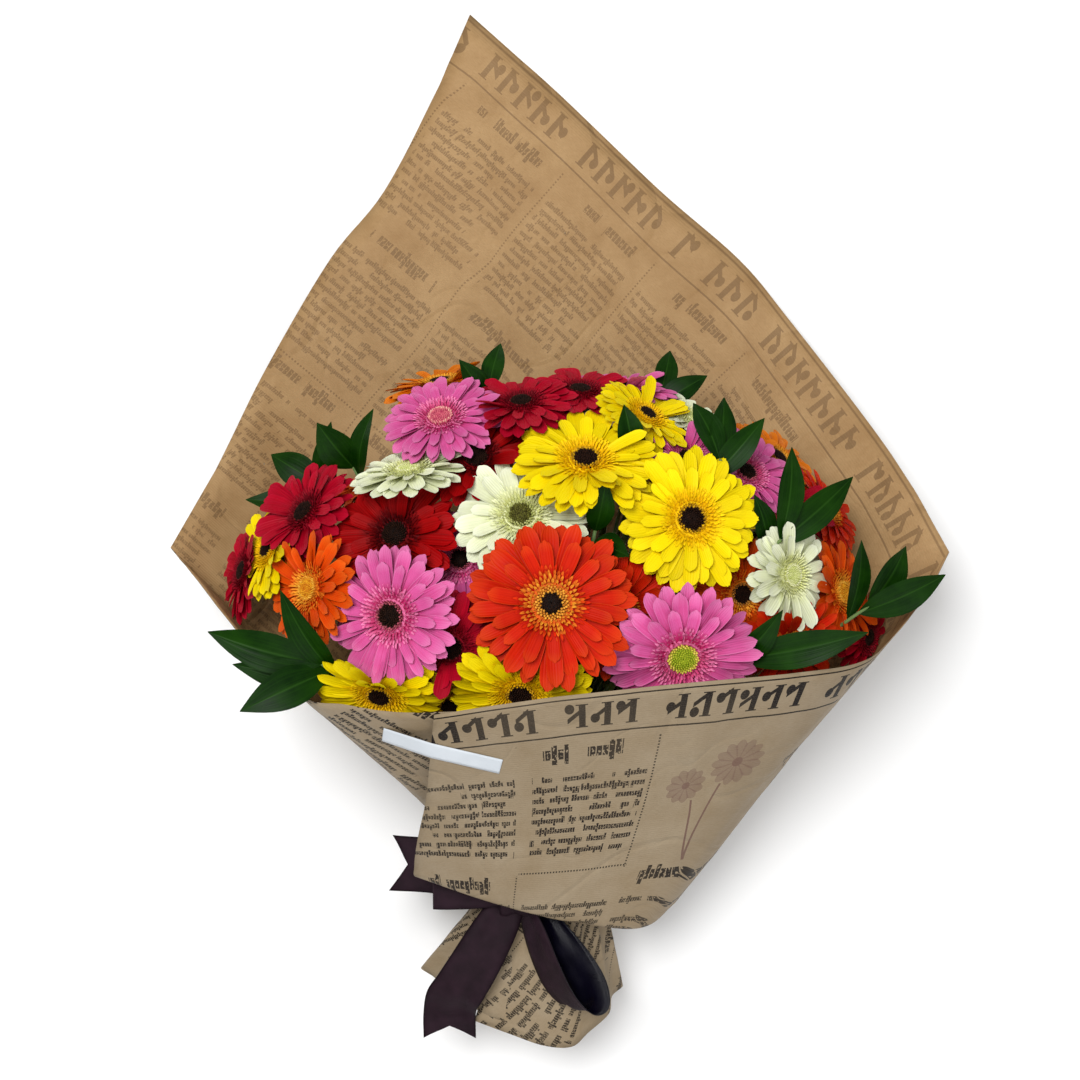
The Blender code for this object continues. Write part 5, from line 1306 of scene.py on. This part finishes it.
class Bloom:
    """One gerbera: stem, cup with bracts, layers of petals, a fringe of small florets and the centre."""

    def __init__(self, entry, slot, index):
        self.name, self.colour, middle, self.radius, tilt, toward = entry
        self.middle = Vector(middle)
        self.normal = facing(tilt, toward)
        self.path = stem_path(slot, self.middle - self.normal * NECK_DEPTH, self.normal, index)
        self.index = index
        self.crowding, self.narrowing = PETAL_CROWDING.get(self.colour, (1.0, 1.0))
        self.raised = RAISED_PETALS.get(self.name, 0.0)
        self.chance = random.Random(100 + index)

    def cup_room(self):
        return self.index, self.middle - self.normal * CUP_ROOM, self.radius * ROOT_RING + CUP_ROOM

    def place_frame(self):
        side = ACROSS - self.normal * ACROSS.dot(self.normal)
        self.east = side.normalized()
        self.north = self.normal.cross(self.east)

    def outward(self, turn):
        """The direction out from the middle at a turn round the bloom."""
        return self.east * math.cos(turn) + self.north * math.sin(turn)

    def lifted(self, turn, lift_deg):
        """At a turn: the directions outward, square to that, and forward and up when lifted."""
        outward = self.outward(turn)
        lift = math.radians(lift_deg)
        forward = outward * math.cos(lift) + self.normal * math.sin(lift)
        up = self.normal * math.cos(lift) - outward * math.sin(lift)
        return outward, self.normal.cross(outward), forward, up

    def ring(self, reach, height, sides):
        """Points round the bloom's axis."""
        return [self.middle + self.outward(2 * math.pi * step / sides) * reach + self.normal * height
                for step in range(sides)]

    def petal(self, turn, layer, lift_change, reach, shape_values, parts, columns):
        """The points of one petal as a grid, root row first."""
        _, start, end, width_part, height, lift, tip_lift = layer
        wobble, twist, notch, width_change, roll = shape_values
        length = self.radius * (end - start) * reach * (1.0 + wobble * 0.8)
        root_lift = math.radians(lift + lift_change)
        end_lift = math.radians(tip_lift + lift_change * 0.8 + wobble * 120.0)
        samples = np.linspace(0.0, 1.0, PETAL_SAMPLES + 1)
        angles = root_lift + (end_lift - root_lift) * samples
        step = length / PETAL_SAMPLES
        out = self.radius * start + np.concatenate([[0.0], np.cumsum(np.cos(angles[:-1]) * step)])
        up = height + np.concatenate([[0.0], np.cumsum(np.sin(angles[:-1]) * step)])
        part = parts[:, None]
        across = np.linspace(-1.0, 1.0, columns + 1)[None, :]
        teeth = 1.0 - 0.03 * across ** 2 - notch * np.abs(np.sin(across * 3.6 + roll))
        along = part * (1.0 + (teeth - 1.0) * part ** 3)
        half = length * width_part / 2 * (1.0 + width_change) * self.narrowing * petal_width(part)
        cup = (across ** 2 - 0.35) * half * 0.28 * (1.0 - 0.5 * part)
        groove = -0.2 * np.cos(across * math.pi * 3.0) * np.sin(math.pi * np.clip(part * 0.97, 0.0, 1.0))
        lean = across * half * (twist * part)
        rise = cup + groove + lean
        along_out = np.interp(along, samples, out)
        along_up = np.interp(along, samples, up)
        slope = np.interp(along, samples, angles)
        radial = along_out - np.sin(slope) * rise
        normal = along_up + np.cos(slope) * rise
        bend = across * half + roll * 0.02 * length * part ** 2
        outward = self.outward(turn)
        tangent = self.normal.cross(outward)
        return (np.array(self.middle) + radial[..., None] * np.array(outward)
                + bend[..., None] * np.array(tangent) + normal[..., None] * np.array(self.normal))

    def core(self):
        """A coarse cone round the disc and cup, which other blooms' petals keep out of."""
        edge = self.radius * CORE_PART
        rings = [(edge, 2.0), (edge, -4.0), (7.0, -13.0), (3.0, -26.0)]
        points = [point for reach, height in rings for point in self.ring(reach, height, CORE_SIDES)]
        faces = grid_faces(len(rings), CORE_SIDES, closed=True)
        faces.append(tuple(range(CORE_SIDES)))
        return points, faces

    def grow(self, shape, obstacles):
        """Adds every petal where it clears the rest best, and returns their coarse surfaces."""
        coarse = []
        faces = grid_faces(len(PETAL_PARTS), PETAL_COLUMNS + 1)
        part, across = np.meshgrid(PETAL_PARTS, np.linspace(0, 1, PETAL_COLUMNS + 1), indexing="ij")
        places = np.stack([across, part], axis=2)
        coarse_faces = grid_faces(len(COARSE_PARTS), COARSE_COLUMNS + 1)
        for number, layer in enumerate(LAYERS):
            count = round(layer[0] * self.crowding)
            first = self.chance.random()
            for step in range(count):
                turn = 2 * math.pi * (step + first + self.chance.uniform(-0.22, 0.22)) / count
                values = (self.chance.uniform(-0.1, 0.07), self.chance.uniform(-0.35, 0.35),
                          self.chance.uniform(0.0, 0.035), self.chance.uniform(-0.12, 0.14),
                          self.chance.uniform(-1.5, 1.5))
                lift, reach = self.clear_way(turn, layer, values, obstacles, coarse_faces)
                grid = self.petal(turn, layer, lift, reach, values, PETAL_PARTS, PETAL_COLUMNS)
                shape.add(grid, faces, SKIN, places, (self.chance.random(), number / len(LAYERS)))
                coarse.append(self.petal(turn, layer, lift, reach, values, COARSE_PARTS, COARSE_COLUMNS))
        return coarse

    def clear_way(self, turn, layer, values, obstacles, coarse_faces):
        """The lift and reach with which a petal meets nothing, or else as little as possible."""
        best, fewest = (0.0, 1.0), None
        for reach in REACH_TRIALS:
            for change in LIFT_TRIALS:
                lift = change + self.raised
                points = self.petal(turn, layer, lift, reach, values, COARSE_PARTS, COARSE_COLUMNS)
                tree = BVHTree.FromPolygons(points.reshape(-1, 3).tolist(), coarse_faces)
                met = sum(len(obstacle.overlap(tree)) for obstacle in obstacles)
                if met == 0:
                    return lift, reach
                if fewest is None or met < fewest:
                    best, fewest = (lift, reach), met
        return best

    def add_fringe(self, shape):
        """Small pointed florets between the petals and the centre, in rings that stand up more inward."""
        for ring, (reach, count, length, lift) in enumerate(FRINGE_RINGS):
            for step in range(count):
                turn = 2 * math.pi * (step + self.chance.uniform(-0.25, 0.25)) / count
                outward, tangent, forward, up = self.lifted(turn, lift + self.chance.uniform(-9, 9))
                size = self.radius * length * self.chance.uniform(0.85, 1.15)
                root = self.middle + outward * self.radius * reach * 0.93 + self.normal * 0.4
                points = []
                for part, half, rise in FLORET_ROWS:
                    point = root + forward * size * part + up * size * rise
                    side = tangent * self.radius * FRINGE_WIDTH * half
                    points += [point - side + up * 0.3, point - up * 0.25, point + side + up * 0.3]
                shape.add(points, grid_faces(len(FLORET_ROWS), 3), FLORET,
                          seed=(self.chance.random(), ring / (len(FRINGE_RINGS) - 1)))

    def add_centre(self, shape):
        """A low dome of closed buds, with a ring of open ones with pollen round it."""
        reach = self.radius * CENTRE_REACH
        self.add_rings(shape, [(reach * part, height) for part, height in CENTRE_DISC], DISC)
        self.add_rings(shape, [(self.radius * part, height) for part, height in FLORET_DISC], FLORET,
                       (0.4, 0.35))
        golden = math.pi * (3.0 - math.sqrt(5.0))
        for bud in range(CENTRE_BUDS):
            part = math.sqrt((bud + 0.5) / CENTRE_BUDS)
            outward = self.outward(bud * golden)
            dome = CENTRE_RISE * (1.0 - 0.75 * part ** 2) - CENTRE_DIMPLE * math.exp(-(part / 0.3) ** 2)
            base = self.middle + outward * reach * part + self.normal * (dome - 0.4)
            size = self.radius * BUD_SIZE * (0.75 + 0.45 * part)
            is_open = part > CLOSED_PARTS.get(self.colour, CLOSED_PART)
            tall = size * (OPEN_BUD_HEIGHT if is_open else CLOSED_BUD_HEIGHT)
            tip = self.normal * tall + outward * tall * 0.3 * part
            points = [base + tip]
            for ring_part, height_part in ((0.75, 0.72), (1.0, 0.0)):
                for step in range(BUD_SIDES):
                    aside = self.outward(2 * math.pi * step / BUD_SIDES)
                    points.append(base + aside * size * ring_part + tip * height_part)
            faces = []
            for step in range(BUD_SIDES):
                upper, upper_next = 1 + step, 1 + (step + 1) % BUD_SIDES
                faces.append((0, upper, upper_next))
                faces.append((upper, upper + BUD_SIDES, upper_next + BUD_SIDES, upper_next))
            shape.add(points, faces, OPEN_BUD if is_open else DISC, seed=(self.chance.random(), 0.0))

    def add_rings(self, shape, rings, kind, seed=(0.0, 0.0)):
        """A surface round the bloom's axis through rings, each given by its reach and its height."""
        points = [point for reach, height in rings for point in self.ring(reach, height, RING_SIDES)]
        shape.add(points, grid_faces(len(rings), RING_SIDES, closed=True), kind, seed=seed)

    def add_cup(self, shape):
        """The green cup under the petals, with two rows of pointed bracts."""
        rings = [(2.5, -24.0), (2.9, -19.0), (4.6, -15.0), (8.5, -11.5), (self.radius * 0.2, -8.0),
                 (self.radius * 0.27, -5.2), (self.radius * 0.29, -3.4)]
        self.add_rings(shape, rings, GREEN)
        for start, low, length, lift, turned in BRACT_RINGS:
            for step in range(BRACT_COUNT):
                turn = 2 * math.pi * (step + turned) / BRACT_COUNT
                outward, tangent, forward, _ = self.lifted(turn, lift)
                root = self.middle + outward * self.radius * start + self.normal * low
                points = []
                for part, half in BRACT_ROWS:
                    point = root + forward * self.radius * length * part
                    side = tangent * self.radius * BRACT_WIDTH * half
                    points += [point - side, point - self.normal * 0.5, point + side]
                shape.add(points, grid_faces(len(BRACT_ROWS), 3), GREEN, seed=(self.chance.random(), 0.0))

    def make(self, obstacles):
        shape = Shape()
        coarse = self.grow(shape, obstacles)
        self.add_fringe(shape)
        self.add_centre(shape)
        self.add_cup(shape)
        path = smooth_line(self.path, STEM_SMOOTHING)
        add_tube(shape, path, [BLOOM_STEM_RADIUS] * len(path), GREEN)
        centre, buds = DARK_CENTRE, OUTER_BUDS[self.colour]
        if self.name in CENTRE_TONES:
            centre, buds = OTHER_CENTRES[CENTRE_TONES[self.name]]
        materials = [PETALS[self.colour], FRINGES[self.colour], centre, buds, STEM]
        shape.make("bloom_" + self.name, materials, "petal_" + self.colour, "gerbera_" + self.name)
        return coarse


# The ruscus

def leaf_grid(base, tip, width, rows=14, columns=8):
    """A pointed blade as in the model, folded a little along its middle and arched from end to end."""
    base, tip = Vector(base), Vector(tip)
    along = tip - base
    length = along.length
    along.normalize()
    away = ((base - BUNCH_MIDDLE).normalized() + Vector((0.0, 0.0, LEAF_TURN_UP))).normalized()
    side = along.cross(away).normalized()
    up = side.cross(along).normalized()
    part = np.linspace(0.0, 1.0, rows + 1)[:, None]
    across = np.linspace(-1.0, 1.0, columns + 1)[None, :]
    outline = np.sin(math.pi * part ** 0.92) ** 0.85 * (1.0 - 0.22 * part ** 6)
    outline = np.maximum(outline, 0.05 - 0.03 * part)
    half = width / 2 * outline
    lift = LEAF_ARCH * length * np.sin(math.pi * part) + LEAF_FOLD * width * np.abs(across) * outline
    lift = lift + 0.5 * np.sin(part * 9.0 + across * 1.7) * outline * across ** 2
    return (np.array(base) + (length * part + 0 * across)[..., None] * np.array(along)
            + (half * across)[..., None] * np.array(side) + lift[..., None] * np.array(up))


class Sprig:
    """One ruscus stem with its leaves."""

    def __init__(self, entry, slot, index):
        name, end, self.blades = entry
        self.name = "ruscus_" + name
        self.end = Vector(end)
        self.path = stem_path(slot, self.end, (self.end - BINDING).normalized(), index)

    def grids(self):
        last_way = (self.path[-1] - self.path[-2]).normalized()
        return [leaf_grid(self.end - last_way * (back + LEAF_SINK), tip, width)
                for tip, back, width in self.blades]

    def make(self):
        shape = Shape()
        for grid in self.grids():
            rows, columns = grid.shape[:2]
            part, across = np.meshgrid(np.linspace(0, 1, rows), np.linspace(0, 1, columns), indexing="ij")
            places = np.stack([across, part], axis=2)
            shape.add(grid, grid_faces(rows, columns), 0, places, (random.random(), 0.0))
        path = smooth_line(self.path, STEM_SMOOTHING)
        add_tube(shape, path, np.linspace(*SPRIG_STEM_RADII, len(path)), 1)
        shape.make(self.name + "_sprig", [LEAF, STEM], "leaf_green", self.name)


def tree_of(meshes):
    """One search tree of several meshes, each given by its points and faces."""
    points, faces = [], []
    for more_points, more_faces in meshes:
        offset = len(points)
        points.extend([tuple(point) for point in more_points])
        faces.extend([tuple(index + offset for index in face) for face in more_faces])
    return BVHTree.FromPolygons(points, faces)


def tree_of_grids(grids):
    faces = grid_faces(*grids[0].shape[:2])
    return tree_of([(grid.reshape(-1, 3), faces) for grid in grids])


def make_plants(paper_grid):
    ends = [Vector(entry[2]) - facing(entry[4], entry[5]) * NECK_DEPTH for entry in GERBERAS]
    ends += [Vector(entry[1]) for entry in SPRIGS]
    slots = assign_slots(ends)
    blooms = [Bloom(entry, slots[index], index) for index, entry in enumerate(GERBERAS)]
    sprigs = [Sprig(entry, slots[len(GERBERAS) + index], index + 3) for index, entry in enumerate(SPRIGS)]
    part_stems([piece.path for piece in blooms + sprigs], [bloom.cup_room() for bloom in blooms])
    for bloom in blooms:
        bloom.place_frame()
    leaf_tree = tree_of_grids([grid[::2, ::2] for sprig in sprigs for grid in sprig.grids()])
    paper_tree = tree_of_grids([paper_grid[::2, ::2]])
    cores = [bloom.core() for bloom in blooms]
    grown = []
    for index, bloom in enumerate(blooms):
        obstacles = [paper_tree, leaf_tree, tree_of(cores[:index] + cores[index + 1:])]
        if grown:
            obstacles.append(tree_of_grids(grown))
        grown.extend(bloom.make(obstacles))
    for sprig in sprigs:
        sprig.make()


def dress_tie():
    """The raffia round the stems keeps the model's shape."""
    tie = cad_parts["stem_tie"]
    material = raffia_material()
    for slot in tie.material_slots:
        slot.material = material


# The stage

def make_stage():
    mesh = bpy.data.meshes.new("floor")
    corners = [(x * FLOOR_REACH, y * FLOOR_REACH, FLOOR_Z) for x, y in ((-1, -1), (1, -1), (1, 1), (-1, 1))]
    mesh.from_pydata(corners, [], [(0, 1, 2, 3)])
    mesh.materials.append(floor_material())
    floor = bpy.data.objects.new("floor", mesh)
    bpy.context.collection.objects.link(floor)


def make_lights():
    for name, place, size, power in LIGHTS:
        data = bpy.data.lights.new(name, "AREA")
        data.shape = "DISK"
        data.size = size
        data.energy = power
        light = bpy.data.objects.new(name, data)
        light.location = place
        light.rotation_euler = (LIT_POINT - Vector(place)).to_track_quat("-Z", "Y").to_euler()
        bpy.context.collection.objects.link(light)
    world = bpy.data.worlds.new("soft")
    bpy.context.scene.world = world
    world.use_nodes = True
    background = world.node_tree.nodes["Background"]
    background.inputs["Color"].default_value = (1.0, 1.0, 1.0, 1.0)
    background.inputs["Strength"].default_value = SKY_STRENGTH
    bpy.context.scene.view_settings.view_transform = "Standard"


def make_camera():
    data = bpy.data.cameras.new("camera")
    data.lens = CAMERA_LENS
    data.sensor_width = 36.0
    data.clip_end = 20.0
    camera = bpy.data.objects.new("camera", data)
    camera.location = CAMERA_PLACE
    bpy.context.collection.objects.link(camera)
    bpy.context.scene.camera = camera


make_camera()
make_lights()
make_stage()
paper, paper_grid = make_paper()
make_ribbon()
make_label(paper)
dress_tie()
make_plants(paper_grid)
